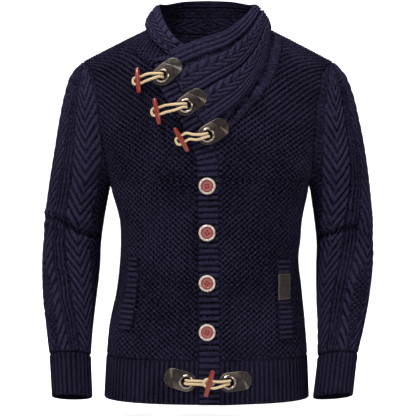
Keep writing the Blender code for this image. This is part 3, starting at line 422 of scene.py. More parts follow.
def softNoise(u, v, size, seed):  # smooth seeded noise from -1 to 1 over lengths in metres
    lattice = np.random.default_rng(seed).uniform(-1, 1, (64, 64))
    a, b = np.broadcast_arrays(u / size, v / size)
    i, j = np.floor(a).astype(int), np.floor(b).astype(int)
    p, q = ease(a - i), ease(b - j)
    i, j, k, l = i % 64, j % 64, (i + 1) % 64, (j + 1) % 64
    low = lattice[i, j] * (1 - p) + lattice[k, j] * p
    high = lattice[i, l] * (1 - p) + lattice[k, l] * p
    return low * (1 - q) + high * q


def fromLine(x, z, a, b):  # distance from the line between two points
    run = b - a
    share = np.clip(((x - a[0]) * run[0] + (z - a[1]) * run[1]) / (run @ run), 0, 1)
    return np.hypot(x - a[0] - share * run[0], z - a[1] - share * run[1])


def creases(points, drawn):  # grooves along lines drawn on the front, each with a soft roll beside it
    x, z = points[..., 0], points[..., 2]
    total = np.zeros(x.shape)
    for path, depth, width in drawn:
        nearest = np.full(x.shape, 9.0)
        for a, b in zip(path[:-1], path[1:]):
            nearest = np.minimum(nearest, fromLine(x, z, a, b))
        roll = 0.55 * depth * np.exp(-(((nearest - 1.9 * width) / width) ** 2))
        total += -depth * np.exp(-((nearest / width) ** 2)) + roll
    return total


def pair(a, b):
    return np.stack(np.broadcast_arrays(a, b), axis=-1)


def distances(points):  # travelled along a line of points
    return np.concatenate([[0], np.cumsum(np.linalg.norm(np.diff(points, axis=0), axis=1))])


def outwards(points, wrap, inside):  # unit normals of a grid of points, away from what it covers
    if wrap:
        wide = np.concatenate([points[:, -1:], points, points[:, :1]], axis=1)
        across = (wide[:, 2:] - wide[:, :-2]) / 2
    else:
        across = np.gradient(points, axis=1)
    normal = np.cross(np.gradient(points, axis=0), across)
    normal /= np.maximum(np.linalg.norm(normal, axis=-1, keepdims=True), 1e-12)
    return normal * np.sign(np.sum(normal * (points - inside)))


def rimFaces(first, second, firstAt, secondAt):
    faces, i, j = [], 0, 0
    while i < len(first) - 1 or j < len(second) - 1:
        if j == len(second) - 1 or (i < len(first) - 1 and firstAt[i + 1] <= secondAt[j + 1]):
            faces.append((first[i], first[i + 1], second[j]))
            i += 1
        else:
            faces.append((first[i], second[j + 1], second[j]))
            j += 1
    return faces


def gridFaces(rows, columns, wrap, first):
    i, j = np.meshgrid(np.arange(rows - 1), np.arange(columns if wrap else columns - 1), indexing="ij")
    corners = np.stack([np.stack([i, j]), np.stack([i, j + 1]), np.stack([i + 1, j + 1]), np.stack([i + 1, j])])
    corners = corners.reshape(4, 2, -1).transpose(2, 0, 1)
    return first + corners[..., 0] * columns + corners[..., 1] % columns, corners


def stepsAlong(points, axis, wrap=False):  # distance travelled along the rows or columns of a grid
    if wrap:
        points = np.concatenate([points, points[:, :1]], axis=1)
    run = np.linalg.norm(np.diff(points, axis=axis), axis=-1)
    zero = np.zeros_like(np.take(run, [0], axis=axis))
    return np.concatenate([zero, np.cumsum(run, axis=axis)], axis=axis)


def gridArea(points, wrap):
    if wrap:
        points = np.concatenate([points, points[:, :1]], axis=1)
    one, two = points[1:, 1:] - points[:-1, :-1], points[1:, :-1] - points[:-1, 1:]
    return float(np.linalg.norm(np.cross(one, two), axis=-1).sum() / 2)


def assign(made, node):
    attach(made, "root")
    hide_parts(node)


def addPiece(name, node, finish, points, faces, mapName, loops, crest, smoothOver=None):
    mesh = bpy.data.meshes.new(name)
    mesh.from_pydata(points.tolist(), [], faces)
    mesh.uv_layers.new(name=mapName).data.foreach_set("uv", loops.astype(np.float32).ravel())
    mesh.attributes.new("crest", "FLOAT", "POINT").data.foreach_set("value", crest.astype(np.float32))
    shaped = bmesh.new()
    shaped.from_mesh(mesh)
    bmesh.ops.recalc_face_normals(shaped, faces=shaped.faces)
    shaped.to_mesh(mesh)
    shaped.free()
    mesh.shade_smooth()
    if smoothOver:
        mesh.set_sharp_from_angle(angle=math.radians(smoothOver))
    mesh.materials.append(finish)
    made = bpy.data.objects.new(name, mesh)
    bpy.context.collection.objects.link(made)
    assign(made, node)
    return made


def clothPiece(names, finish, base, height, inner, at, uv, inside, wrap=False, normal=None,
               smoothOver=60, innerLevel=0.4, wearAndPaintedLight=None, cut=None):
    # A knitted or leather wall: the outer grid carries the relief, the inner one is plainer, and rims join them.
    name, node, slotName = names
    if normal is None:
        normal = outwards(base, wrap, inside)
    outer = base + height[..., None] * normal
    rows, columns = outer.shape[:2]
    innerRows, innerColumns = inner.shape[:2]
    count = rows * columns
    faces, corners = gridFaces(rows, columns, wrap, 0)
    lower, lowerCorners = gridFaces(innerRows, innerColumns, wrap, count)
    number = np.arange(count).reshape(rows, columns)
    below = count + np.arange(innerRows * innerColumns).reshape(innerRows, innerColumns)
    rims = []
    for row in (0, -1):
        a, b, atA, atB = list(number[row]), list(below[row]), list(at[0]), list(at[1])
        if wrap:
            a, b, atA, atB = a + a[:1], b + b[:1], atA + [atA[0] + 1e3], atB + [atB[0] + 1e3]
        rims += rimFaces(a, b, atA, atB)
    if not wrap:
        for column in (0, -1):
            rims += rimFaces(list(number[:, column]), list(below[:, column]), at[2], at[3])
    innerI = np.round(np.linspace(0, rows - 1, innerRows)).astype(int)
    innerJ = np.round(np.linspace(0, uv.shape[1] - 1, innerColumns + (1 if wrap else 0))).astype(int)
    innerUv = uv[np.ix_(innerI, innerJ)]
    perPoint = np.concatenate([uv[:, :columns].reshape(-1, 2), innerUv[:, :innerColumns].reshape(-1, 2)])
    loops = np.concatenate([
        uv[corners[..., 0], corners[..., 1]].reshape(-1, 2),
        innerUv[lowerCorners[..., 0], lowerCorners[..., 1]].reshape(-1, 2),
        perPoint[np.array(rims, int).ravel()],
    ])
    # the relief's height, kept as the "crest" attribute, is what the materials use to paint shade into the hollows and
    # a highlight onto the tops; leather passes its own mask of rubbed wear and painted light instead
    level = (height - height.min()) / max(height.max() - height.min(), 1e-6)
    innerLevel = innerLevel + 0 * inner[..., 0]
    if wearAndPaintedLight is not None:
        level, innerLevel = np.clip(wearAndPaintedLight, 0, 1), 0 * innerLevel
    made = addPiece(
        name, node, finish, np.concatenate([outer.reshape(-1, 3), inner.reshape(-1, 3)]),
        faces.tolist() + lower.tolist() + [tuple(map(int, rim)) for rim in rims], "KnitMap", loops,
        np.concatenate([level.ravel(), innerLevel.ravel()]), smoothOver,
    )
    if cut:
        (width, length), area = cut
    else:
        width = round(float(stepsAlong(base, 1, wrap)[:, -1].max()), 3)
        length = round(float(stepsAlong(base, 0)[-1].max()), 3)
        area = min(gridArea(base, wrap), width * length)
    size = f"{width * 1000:.0f} x {length * 1000:.0f} mm, {area * 10000:.0f} cm2"
    print(f"{name}: cut {size}, {len(made.data.polygons)} faces")


# Materials

def fromHex(code):
    channels = [int(code[i:i + 2], 16) / 255 for i in (1, 3, 5)]
    return tuple(c / 12.92 if c <= 0.04045 else ((c + 0.055) / 1.055) ** 2.4 for c in channels) + (1.0,)


def addNode(tree, kind, settings, *values, **named):  # a node given as a value stands for its first output
    node = tree.nodes.new("ShaderNode" + kind)
    for name, value in settings.items():
        setattr(node, name, value)
    used = [socket for socket in node.inputs if socket.enabled]
    for socket, value in [*zip(used, values), *((node.inputs[name], value) for name, value in named.items())]:
        if hasattr(value, "outputs"):
            value = next(output for output in value.outputs if output.enabled)
        if isinstance(value, bpy.types.NodeSocket):
            tree.links.new(value, socket)
        else:
            socket.default_value = value
    return node


def finishMaterial(made, sockets):  # plugs values, colours and nodes into the shader's own sockets
    tree = made.node_tree
    for name, value in sockets.items():
        socket = tree.nodes["Principled BSDF"].inputs[name]
        if hasattr(value, "outputs"):
            tree.links.new(next(output for output in value.outputs if output.enabled), socket)
        else:
            socket.default_value = value
    return made


def startMaterial(name):
    made = bpy.data.materials.new(name)
    made.use_nodes = True
    return made, made.node_tree


ribbing = {"hemRib": 0.009, "samples": 6, "cuffRibs": 26, "low": -0.0016, "high": 0.0012, "edge": 0.00175, "rows": 22}
woolLook = {
    # "deep" is painted shade in hollows and gaps as well as the dark flecks; "light" is a painted highlight on the tops
    # as well as the pale flecks and clouds
    "deep": "#010103", "dark": "#0b0a12", "mid": "#110f1a", "pale": "#191624", "light": "#302d43",
    "stitchWide": 5.4, "stitchTall": 4.5,   # millimetres, as a three-ply wool at this gauge
    "fibre": 0.55,                          # millimetres between the fibres that show, coarser than real ones
}


def woolMaterial(name, wide, tall, lift, shade="mid", turned=False):
    # Carded navy wool, milled a little: no gloss, a pale bloom at grazing angles, flecks of lighter fibre. Light is
    # painted in as well: painted shade in the relief's hollows and between each stitch's strands, and a painted
    # highlight on the relief's tops.
    made, tree = startMaterial(name)
    place = addNode(tree, "TexCoord", {}).outputs["Object"]
    split = addNode(tree, "SeparateXYZ", {}, addNode(tree, "UVMap", {"uv_map": "KnitMap"}))
    found = {"u": split.outputs[int(turned)], "v": split.outputs[1 - int(turned)]}
    for result, operation, *inputs in (  # a strand climbs each leg of a stitch, and both are round
        ("cell", "MULTIPLY", "u", 1000 / wide),
        ("lean", "FRACT", "cell"), ("lean", "SUBTRACT", "lean", 0.5), ("lean", "ABSOLUTE", "lean"),
        ("lean", "MULTIPLY", "lean", 1.7), ("strand", "MULTIPLY_ADD", "v", 1000 / tall, "lean"),
        ("strand", "FRACT", "strand"), ("strand", "MULTIPLY", "strand", 2.0), ("strand", "SUBTRACT", "strand", 1.0),
        ("strand", "MULTIPLY", "strand", "strand"), ("strand", "SUBTRACT", 1.0, "strand"),
        ("leg", "MULTIPLY", "cell", 2.0), ("leg", "FRACT", "leg"), ("leg", "MULTIPLY", "leg", 2.0),
        ("leg", "SUBTRACT", "leg", 1.0), ("leg", "MULTIPLY", "leg", "leg"), ("leg", "SUBTRACT", 1.0, "leg"),
        ("stitch", "MULTIPLY", "strand", 0.6), ("stitch", "MULTIPLY_ADD", "leg", 0.4, "stitch"),
    ):
        found[result] = addNode(tree, "Math", {"operation": operation}, *(found.get(i, i) for i in inputs))
    found["fibre"] = addNode(tree, "TexNoise", {}, place, 500 / woolLook["fibre"], 3.0, 0.65)
    found["fleck"] = addNode(tree, "TexNoise", {}, place, 330.0, 1.5)
    found["cloud"] = addNode(tree, "TexNoise", {}, place, 14.0, 2.0)
    found["crest"] = addNode(tree, "Attribute", {"attribute_name": "crest"}).outputs["Fac"]
    colour = fromHex(woolLook["deep"])
    # painted light: low crest mixes towards "deep" as painted shade in the hollows, high crest towards "light" as a
    # painted highlight, and low stitch values towards "deep" as painted shade between the strands; the flecks and the
    # cloud are the yarn's own tone
    for figure, low, high, toLow, toHigh, tone in (
        ("crest", 0.28, 0.72, 0.0, 1.0, shade), ("crest", 0.66, 0.95, 0.0, 0.5 + lift, "light"),
        ("fleck", 0.46, 0.72, 0.0, 0.55 + lift, "light"), ("stitch", 0.1, 0.8, 0.72, 0.0, "deep"),
        ("fleck", 0.5, 0.3, 0.0, 0.4, "deep"), ("cloud", 0.35, 0.65, 0.0, 0.1, "light"),
    ):
        share = addNode(tree, "MapRange", {}, found[figure], low, high, toLow, toHigh)
        colour = addNode(tree, "Mix", {"data_type": "RGBA"}, share, colour, fromHex(woolLook[tone]))
    bumps = addNode(tree, "Bump", {}, Strength=0.8, Distance=0.001, Height=found["stitch"])
    hairs = addNode(tree, "Bump", {}, Strength=0.45, Distance=0.0005, Height=found["fibre"], Normal=bumps)
    return finishMaterial(made, {
        "Base Color": colour, "Normal": hairs, "Specular IOR Level": 0.0,
        "Roughness": addNode(tree, "MapRange", {}, found["fibre"], 0.3, 0.7, 0.84, 0.96),
        "Sheen Weight": 0.025, "Sheen Roughness": 0.45, "Sheen Tint": fromHex("#8d89a6"),
    })


riceKnit = woolMaterial("seed_stitch_wool", 4.0, 4.7, -0.04, "dark")
ribbedKnit = woolMaterial("ribbed_wool", ribbing["hemRib"] * 1000, 4.5, -0.28, "dark")
bandKnit = woolMaterial("cross_ribbed_wool", 10.5, 4.5, -0.1, "dark", turned=True)
cableKnit = woolMaterial("cabled_wool", woolLook["stitchWide"], woolLook["stitchTall"], -0.05)
collarKnit = woolMaterial("collar_wool", 4.6, 4.2, 0.1, "pale")
plainKnit = woolMaterial("plain_wool", 3.6, 3.2, 0.14, "pale")


def surface(name, look):
    made, tree = startMaterial(name)
    if "map" in look:
        place = addNode(tree, "UVMap", {"uv_map": look["map"]})
    else:
        place = addNode(tree, "TexCoord", {}).outputs["Object"]
    if "grain" in look:
        grain = addNode(tree, "TexVoronoi", {"feature": "SMOOTH_F1"}, place, look["grain"], Smoothness=0.7)
    if "stretch" in look:
        place = addNode(tree, "Mapping", {}, place, Scale=look["stretch"])
    figure = addNode(tree, look.get("kind", "TexNoise"), look.get("settings", {}), place, *look["figure"])
    if "twist" in look:
        figure.inputs["Distortion"].default_value = look["twist"]
    figure = figure.outputs["Fac"]
    share = addNode(tree, "MapRange", {}, figure, *look["spread"])
    tones = [fromHex(tone) for tone in look["tones"]]
    colour = addNode(tree, "Mix", {"data_type": "RGBA"}, share, *tones[:2])
    if "crest" in look:
        crest = addNode(tree, "Attribute", {"attribute_name": "crest"}).outputs["Fac"]
        share = addNode(tree, "MapRange", {}, crest, *look["crest"])
        colour = addNode(tree, "Mix", {"data_type": "RGBA"}, share, colour, tones[2])
    sockets = {"Base Color": colour, **look.get("sockets", {})}
    if "rough" in look:
        sockets["Roughness"] = addNode(tree, "MapRange", {}, figure, *look["rough"])
    if "bump" in look:
        strength, distance = look["bump"]
        height = grain if "grain" in look else figure
        sockets["Normal"] = addNode(tree, "Bump", {}, Strength=strength, Distance=distance, Height=height)
    return finishMaterial(made, sockets)


# Waxed, embossed cowhide, dark brown: a glossy finish over fine pebbled grain. Its pale tone follows each piece's mask:
# rubbed wear and a painted highlight at the edges, painted highlight and painted shade across the faces.
leather = surface("waxed_cowhide", {
    "figure": (160.0, 4.0), "grain": 900.0, "spread": (0.35, 0.65), "tones": ("#100b09", "#221914", "#6d6057"),
    "crest": (0.5, 1.0, 0.0, 0.85), "rough": (0.3, 0.7, 0.26, 0.44), "bump": (0.35, 0.0003),
    "sockets": {"Specular IOR Level": 0.2, "Coat Weight": 0.05, "Coat Roughness": 0.2},
})
# Antiqued copper plate on pressed brass: dark in the hollows, brushed bright on the roll.
copper = surface("antiqued_copper", {
    "figure": (500.0, 5.0), "spread": (0.38, 0.66), "tones": ("#4a403a", "#a09388"),
    "rough": (0.3, 0.7, 0.32, 0.16), "bump": (0.2, 0.0001), "sockets": {"Metallic": 1.0},
})
# Polished pale horn: faint brown streaks under a clear surface.
horn = surface("pale_horn", {
    "figure": (700.0, 5.0), "stretch": (1.0, 1.0, 0.25), "twist": 0.6, "spread": (0.42, 0.62),
    "tones": ("#b4a59b", "#6d5a4e"), "rough": (0.3, 0.7, 0.28, 0.42),
    "sockets": {"Coat Weight": 0.3, "Coat Roughness": 0.15},
})
# Moulded casein centre, brick red with a fine wood figure, half gloss.
brick = surface("brick_casein", {
    "kind": "TexWave", "settings": {"bands_direction": "X"}, "figure": (260.0, 5.0, 3.0, 2.0), "spread": (0.2, 0.8),
    "tones": ("#5c1f1b", "#8a3d37"), "rough": (0.0, 1.0, 0.34, 0.46),
})
# Turned hardwood, stained orange red and lacquered: long grain, darker pores, a soft clear coat.
wood = surface("stained_wood", {
    "map": "GrainMap", "stretch": (1400.0, 110.0, 1.0), "figure": (1.0, 5.0), "twist": 0.8, "spread": (0.36, 0.62),
    "tones": ("#420f08", "#76200e"), "rough": (0.3, 0.7, 0.45, 0.28), "bump": (0.2, 0.0002),
    "sockets": {"Specular IOR Level": 0.3, "Coat Weight": 0.3, "Coat Roughness": 0.1},
})
# Twisted jute, three strands: matt, straw coloured, with loose fibres along each strand; the grooves between the
# strands are painted dark brown as shade.
jute = surface("jute_rope", {
    "map": "RopeMap", "stretch": (2600.0, 420.0, 1.0), "figure": (1.0, 4.0, 0.7), "spread": (0.35, 0.68),
    "tones": ("#b3946b", "#dccaa8", "#42290f"), "crest": (0.1, 0.9, 1.0, 0.0), "bump": (0.6, 0.0004),
    "sockets": {"Roughness": 0.85, "Specular IOR Level": 0.2},
})
# Matt background paper, with a faint tooth.
paper = surface("background_paper", {
    "figure": (300.0,), "spread": (0.4, 0.6, 0.0, 0.05), "tones": ("#f1f1f2", "#e4e4e8"), "sockets": {"Roughness": 0.9},
})
print("materials made")

# Body panels: seed stitch, whose bumps stand in a staggered lattice

riceStitch = {
    "across": 0.011,     # two columns of bumps
    "rows": 5,            # grid rows to one bump
    "rowStep": 0.00188,   # so a bump is 9.4 mm tall
    "slant": 0.0005,      # each bump leans outwards as it rises
    "height": 0.0042, "wander": 0.0007, "columns": 160, "backColumns": 270,
}
bodyCreases = lines("""    3 7 -186 -246 -176 -262 -168 -284 -164 -300
    1.6 6 -172 -236 -158 -250 -148 -270
    3 7 190 -246 182 -264 174 -284 170 -300
    1.6 6 178 -236 164 -250 154 -268
    1.2 9 -160 -402 -130 -408 -104 -420
    1.2 9 160 -372 134 -384 108 -404
    1.2 8 -70 -594 -66 -566 -58 -548
    1.2 8 74 -594 68 -570 62 -552""")


def riceHeight(u, rowIndex, rows, seed):
    turn = 2 * np.pi * rowIndex / rows
    side = np.cos(2 * np.pi * (u - riceStitch["slant"] / 2 * np.sin(2 * turn)) / riceStitch["across"])
    up = np.cos(turn)
    hole = (side * up < 0) * np.abs(side) ** 3 * np.abs(up) ** 0.8
    bump = np.maximum(side * up, 0) ** 0.6
    size = 1 + 0.3 * softNoise(u, rowIndex * riceStitch["rowStep"], 0.009, seed)
    return riceStitch["height"] * size * (0.36 * bump - 0.9 * ease(hole / 0.6))


def armRows(edgeLine, step):  # armhole angles that put the rows evenly up the middle of the panel
    turns = np.linspace(np.pi, 0, 361)
    along = distances(edgeLine(turns))
    return np.interp(np.linspace(0, along[-1], round(along[-1] / step) + 1), along, turns)


def yokeShare(x, z):
    return (ridge(x) - z) / (ridge(x) - yoke)


def yokeHeight(x, share, inset=0.0):
    return ridge(x, inset) - share * (ridge(x, inset) - yoke)


def armholeHeight(turn):
    return (shoulder + armpit) / 2 + (shoulder - armpit) / 2 * np.cos(turn)


def frontRow(side, columns, turn, inset):
    neckZ = ridge(neckline[side]["x"][-1])
    z = armholeHeight(turn)
    share = (z - armpit) / (shoulder - armpit)
    zIn = armpit + (neckZ - armpit) * share
    xIn = innerEdge(side, zIn)
    xOut = section("shift", z) + side * section("half", z)
    heights = zIn + (z - zIn) * columns
    start, end = angleAt(xIn, zIn, front), angleAt(xOut, z, front)
    turned = start + (end - start) * columns
    x = section("shift", heights) + reach(heights, front) * power(np.sin(turned), 2 / roundness)
    part = yokeShare(xIn, zIn) + (yokeShare(xOut, z) - yokeShare(xIn, zIn)) * columns
    row = torso(angleAt(x, yokeHeight(x, part), front), yokeHeight(x, part), front, inset, side > 0)
    row[:, 2] = yokeHeight(x, part, inset)
    row[-1] = armhole(side, turn) + (armholeMitre(side, turn) if inset else 0)
    row[-1, 0] -= side * seamGap
    row[-1, 1] = min(row[-1, 1], -seamGap / 2)
    return row


def frontGrid(side, columns, low, turns, inset):
    rows = []
    for z in low:
        start = angleAt(innerEdge(side, z), z, front)
        rows.append(torso(start + (side * np.pi / 2 - start) * columns, z, front, inset, side > 0))
    return np.stack(rows + [frontRow(side, columns, turn, inset) for turn in turns])


def backRow(columns, turn, inset):
    z = armholeHeight(turn)
    end = angleAt(section("shift", z) + section("half", z), z, back)
    x = section("shift", z) + reach(z, back) * power(np.sin(end * columns), 2 / roundness)
    part = yokeShare(section("half", z), z)
    drop = 0.03 * (1 - np.clip(np.abs(x) / 0.1, 0, 1) ** 2)
    neck = (drop + np.clip(ridge(x) - ridge(0.1), 0, 1)) / (ridge(x) - yoke)
    part = part + neck * (1 - np.clip(part, 0, 1))
    row = torso(angleAt(x, yokeHeight(x, part), back), yokeHeight(x, part), back, inset)
    row[:, 2] = yokeHeight(x, part, inset)
    for k, side in ((0, -1), (-1, 1)):
        row[k] = armhole(side, -turn) + (armholeMitre(side, -turn) if inset else 0)
        row[k, 0] -= side * seamGap
        row[k, 1] = max(row[k, 1], seamGap / 2)
    return row


def backGrid(columns, low, turns, inset):
    rows = [torso(np.pi / 2 * columns, z, back, inset) for z in low]
    return np.stack(rows + [backRow(columns, turn, inset) for turn in turns])


def bodyRelief(base, across, seed):
    rows = np.arange(base.shape[0])[:, None]
    level = rows * riceStitch["rowStep"]
    share = np.clip((base[..., 2] - armpit) / 0.22, 0, 1)
    wide = np.abs(base[:, -1, 0] - base[:, 0, 0])[:, None]
    spread = (0.5 + 0.5 * wide / wide[0, 0]) * (1 + 0.1 * share)
    lean = (0.6 * across + 0.4 * np.sign(across) * np.abs(base[..., 0])) / spread
    lean = lean + riceStitch["wander"] * softNoise(across, level, 0.045, seed)
    height = riceHeight(lean, rows, riceStitch["rows"], seed + 1)
    height = height + 0.0007 * softNoise(across, level, 0.06, seed + 2)
    steps = stepsAlong(base, 1)
    near = ease(np.minimum(steps, steps[:, -1:] - steps) / 0.0025) * ease(np.minimum(level, level[-1] - level) / 0.0025)
    return sink(height, near, 0.0006), pair(across, level)


def bodyPanels():
    low, lowIn = (np.linspace(hemSeam, armpit, count)[:-1] for count in (167, 25))
    for side in (-1, 1, 0):  # the two fronts, then the back
        def grid(columns, levels, turns, inset):
            if side:
                return frontGrid(side, columns, levels, turns, inset)
            return backGrid(columns, levels, turns, inset)

        start, middle = (0, 0.42) if side else (-1, 0.4)
        columns = np.linspace(start, 1, (riceStitch["columns"] if side else riceStitch["backColumns"]) + 1)
        columnsIn = np.linspace(start, 1, 25 if side else 41)
        line = np.array([start, middle, 1.0])
        turns = armRows(lambda many: grid(line, [], many, 0.0)[:, 1], riceStitch["rowStep"])
        turnsIn = turns[np.round(np.linspace(0, len(turns) - 1, 30)).astype(int)]
        base = grid(columns, low, turns, 0.0)
        if side:
            base[..., 1] += creases(base, bodyCreases) * ease((0.06 - base[..., 1]) / 0.12)
        inner = grid(columnsIn, lowIn, turnsIn, bodyWall)
        across = stepsAlong(base, 1)
        across = side * base[:, :1, 0] + across if side else across - across[:, [base.shape[1] // 2]]
        height, uv = bodyRelief(base, across, 11 + side if side else 31)
        if side < 0:  # flat where the placket lies on it
            covered = 1 - ease((-base[..., 0] - 0.017) / 0.004)
            height = height * (1 - covered * (base[..., 2] < -0.2))
        at = (columns, columnsIn, np.linspace(0, 1, base.shape[0]), np.linspace(0, 1, inner.shape[0]))
        name, node = (f"{hand(side)}_front", f"front_{hand(side)}") if side else ("back_panel", "back")
        clothPiece((name, node, "rice_stitch_knit"), riceKnit, base, height, inner, at, uv, (0, 0, -0.3))


bodyPanels()
print("body panels made")

# Ribbed hem and cuffs


def ribHeight(phase, low=ribbing["low"], high=ribbing["high"]):
    f = phase % 1.0
    return low + (high - low) * (1 - np.abs(2 * f - 1) ** 2.2)


def roundedEdge(distance):  # how far a free edge rolls in
    r = ribbing["edge"]
    d = np.clip(distance, 0, r)
    return r - np.sqrt(np.maximum(r * r - (r - d) ** 2, 0))


freeEdge = np.array([0.0, 0.0002, 0.0006, 0.0011, 0.00175])  # grid rows crowd together on the rolled edge


def ribbedBand(phase, near, drop, depth):
    height = sink(ribHeight(phase), near, depth)
    return height * ease(drop / 0.003 + 0.25) - roundedEdge(drop)


def evenAngles(z, face, start, end, count):
    fine = np.linspace(start, end, 400)
    along = distances(torso(fine, z + 0 * fine, face))
    return np.interp(np.linspace(0, along[-1], count), along, fine), along[-1]


def hemPieces():
    low, high = bodyForm["hem"] - 0.0025, hemSeam + 0.0008
    middle = (hemSeam + bodyForm["hem"]) / 2
    quarter, each = np.pi / 2, ribbing["samples"]
    levels = np.concatenate([low + freeEdge, np.linspace(low + 0.004, high, ribbing["rows"] - 5)])[:, None]
    levelsIn = np.concatenate([levels[:5, 0], np.linspace(low + 0.01, high, 6)])[:, None]
    drop = levels - low
    for name, node, rests, face, side in (
        ("back_hem", "hem_back", "back_panel", back, 0),
        ("left_hem", "hem_left", "left_front", front, 1),
        ("right_hem", "hem_right", "right_front", front, -1),
    ):
        start = angleAt(innerEdge(side, middle), middle, front) if side else -quarter
        end = side * quarter if side else quarter
        ribs = round(evenAngles(middle, face, start, end, 2)[1] / ribbing["hemRib"])
        fine, _ = evenAngles(middle, face, start, end, each * ribs + 1)
        coarse = fine[::each // 2]
        base = torso(fine[None, :], levels, face, 0.0, side > 0)
        phase = np.arange(len(fine))[None, :] / each
        wobble = 0.05 * softNoise(phase * ribbing["hemRib"], levels, 0.02, 5)
        height = ribbedBand(phase + wobble, ease((high - levels) / 0.005), drop, 0.0012)
        thick = ribbedWall - roundedEdge(levelsIn - low) + 0 * coarse
        inner = torso(coarse + 0 * thick, levelsIn + 0 * thick, face, thick, side > 0)
        rise = 1 if end > start else -1
        at = (rise * fine, rise * coarse, levels[:, 0], levelsIn[:, 0])
        uv = pair(phase * ribbing["hemRib"], levels)
        clothPiece((name, node, "ribbed_knit"), ribbedKnit, base, height, inner, at, uv, (0, 0, middle))


hemPieces()
print("hem made")

sleeveKnit = {
    "columns": 180, "rows": 290, "length": 0.545, "pitch": 0.0188, "edge": 0.0022,
    "outerMiddle": 16.0, "outerHalf": 36.0, "outerDrop": 0.044, "outerRise": 0.0044,
    "innerMiddle": 104.0, "innerHalf": 27.0, "innerDrop": 0.04, "innerRise": 0.0044,
    "ribEach": 8.3, "wedgeWide": 19.0,
    # how far the knitting turns to the front on its way down, in degrees
    "turned": {
        -1: table("z turn", """            -600 48
    -575 43
    -530 33
    -493 22
    -457 16
    -430 9
    -385 1
    -290 0
    -220 3"""),
        1: table("z turn", """            -600 56
    -587 54
    -538 48
    -493 42
    -448 34
    -403 25
    -358 17
    -313 5
    -286 -3
    -220 -8"""),
    },
}
sleeveCreases = {
    -1: lines("""        6.2 5.8 -296 -347 -279 -345 -259 -354 -241 -366 -230 -373 -210 -376
    2 6 -270 -378 -246 -384 -222 -398
    1.8 6.5 -250 -330 -226 -338 -206 -334
    3 6.5 -192 -262 -205 -282 -222 -292
    1.5 6 -232 -560 -250 -572 -272 -570"""),
    1: lines("""        6.2 5.6 200 -378 218 -376 233 -370 250 -361 264 -360
    3.4 5 202 -382 217 -391 240 -378
    2 6 216 -404 238 -398 262 -386
    1.8 6.5 208 -338 230 -344 252 -334
    3 6.5 196 -262 208 -282 226 -294
    1.5 6 216 -562 236 -573 256 -570"""),
}


def sleevePlace(side, points):  # degrees round the sleeve from its outer side, and how far down it a point is
    rows = sleeveForm[side]
    x, y, z = (points[..., k] for k in range(3))
    outer = np.interp(-z, -rows["oz"], rows["ox"])
    inner = np.interp(-z, -rows["iz"], rows["ix"])
    inner = np.where(z > armpit, section("shift", z) + side * section("half", z), inner)
    level = -(rows["oz"] + rows["iz"]) / 2
    ahead = (np.interp(-z, level, rows["y"]) - y) / np.interp(-z, level, rows["depth"])
    out = (x - (outer + inner) / 2) / ((outer - inner) / 2)
    turned = sleeveKnit["turned"][side]
    return np.degrees(np.arctan2(ahead, out)) - np.interp(z, turned["z"], turned["turn"]), -z


def chevron(down, across, drop, rise):  # laid strands that run down to the middle of their column
    f = ((down - drop * (1 - across)) / sleeveKnit["pitch"]) % 1.0
    strand = rise * np.maximum(1 - (2 * f - 1) ** 2, 0) ** 0.7 - 0.5 * rise
    return strand * (1 - ease((across - 0.86) / 0.14)) - 0.4 * rise * ease((across - 0.9) / 0.1)


def sleeveRelief(side, points, seed):
    look = sleeveKnit
    turn, down = sleevePlace(side, points)
    turn = (turn + 180) % 360 - 180
    wobble = 0.001 * softNoise(down, turn * 0.001, 0.03, seed)
    below = ease((down - 0.405) / 0.06)
    wedge = look["wedgeWide"] * below * (1 - 0.75 * ease((down - 0.5) / 0.09))
    fromOuter = np.abs(turn - look["outerMiddle"])
    half = look["outerHalf"] - wedge
    drop = look["outerDrop"] * half / look["outerHalf"]
    outer = chevron(down + wobble, np.clip((fromOuter - wedge) / half, 0, 1), drop, look["outerRise"])
    fromInner = np.minimum(np.abs(turn - look["innerMiddle"]), np.abs(turn + look["innerMiddle"]))
    share = np.clip(fromInner / look["innerHalf"], 0, 1)
    inner = chevron(down + wobble, share, look["innerDrop"], look["innerRise"])
    ribs = ribHeight(turn / look["ribEach"], -0.002, 0.0012)
    size = 1 + 0.2 * softNoise(down, turn * 0.001, 0.009, seed + 1)
    beat = np.cos(2 * np.pi * turn / 15) * np.cos(2 * np.pi * down / 0.0094)
    rice = 0.004 * size * (((beat + 1) / 2) ** 0.5 - 0.62)
    under = ease((np.abs(turn) - look["innerMiddle"] - look["innerHalf"]) / 3 + 0.5)
    inOuter = 1 - ease((fromOuter - look["outerHalf"]) / 3 + 0.5)
    inWedge = (1 - ease((fromOuter - wedge) / 3 + 0.5)) * below
    inInner = (1 - ease((fromInner - look["innerHalf"]) / 3 + 0.5)) * (1 - under)
    height = ribs * (1 - inOuter) * (1 - inInner) * (1 - under) + rice * under
    height = height + inInner * (1 - inOuter) * inner + inOuter * (1 - inWedge) * outer
    return height + inWedge * rice


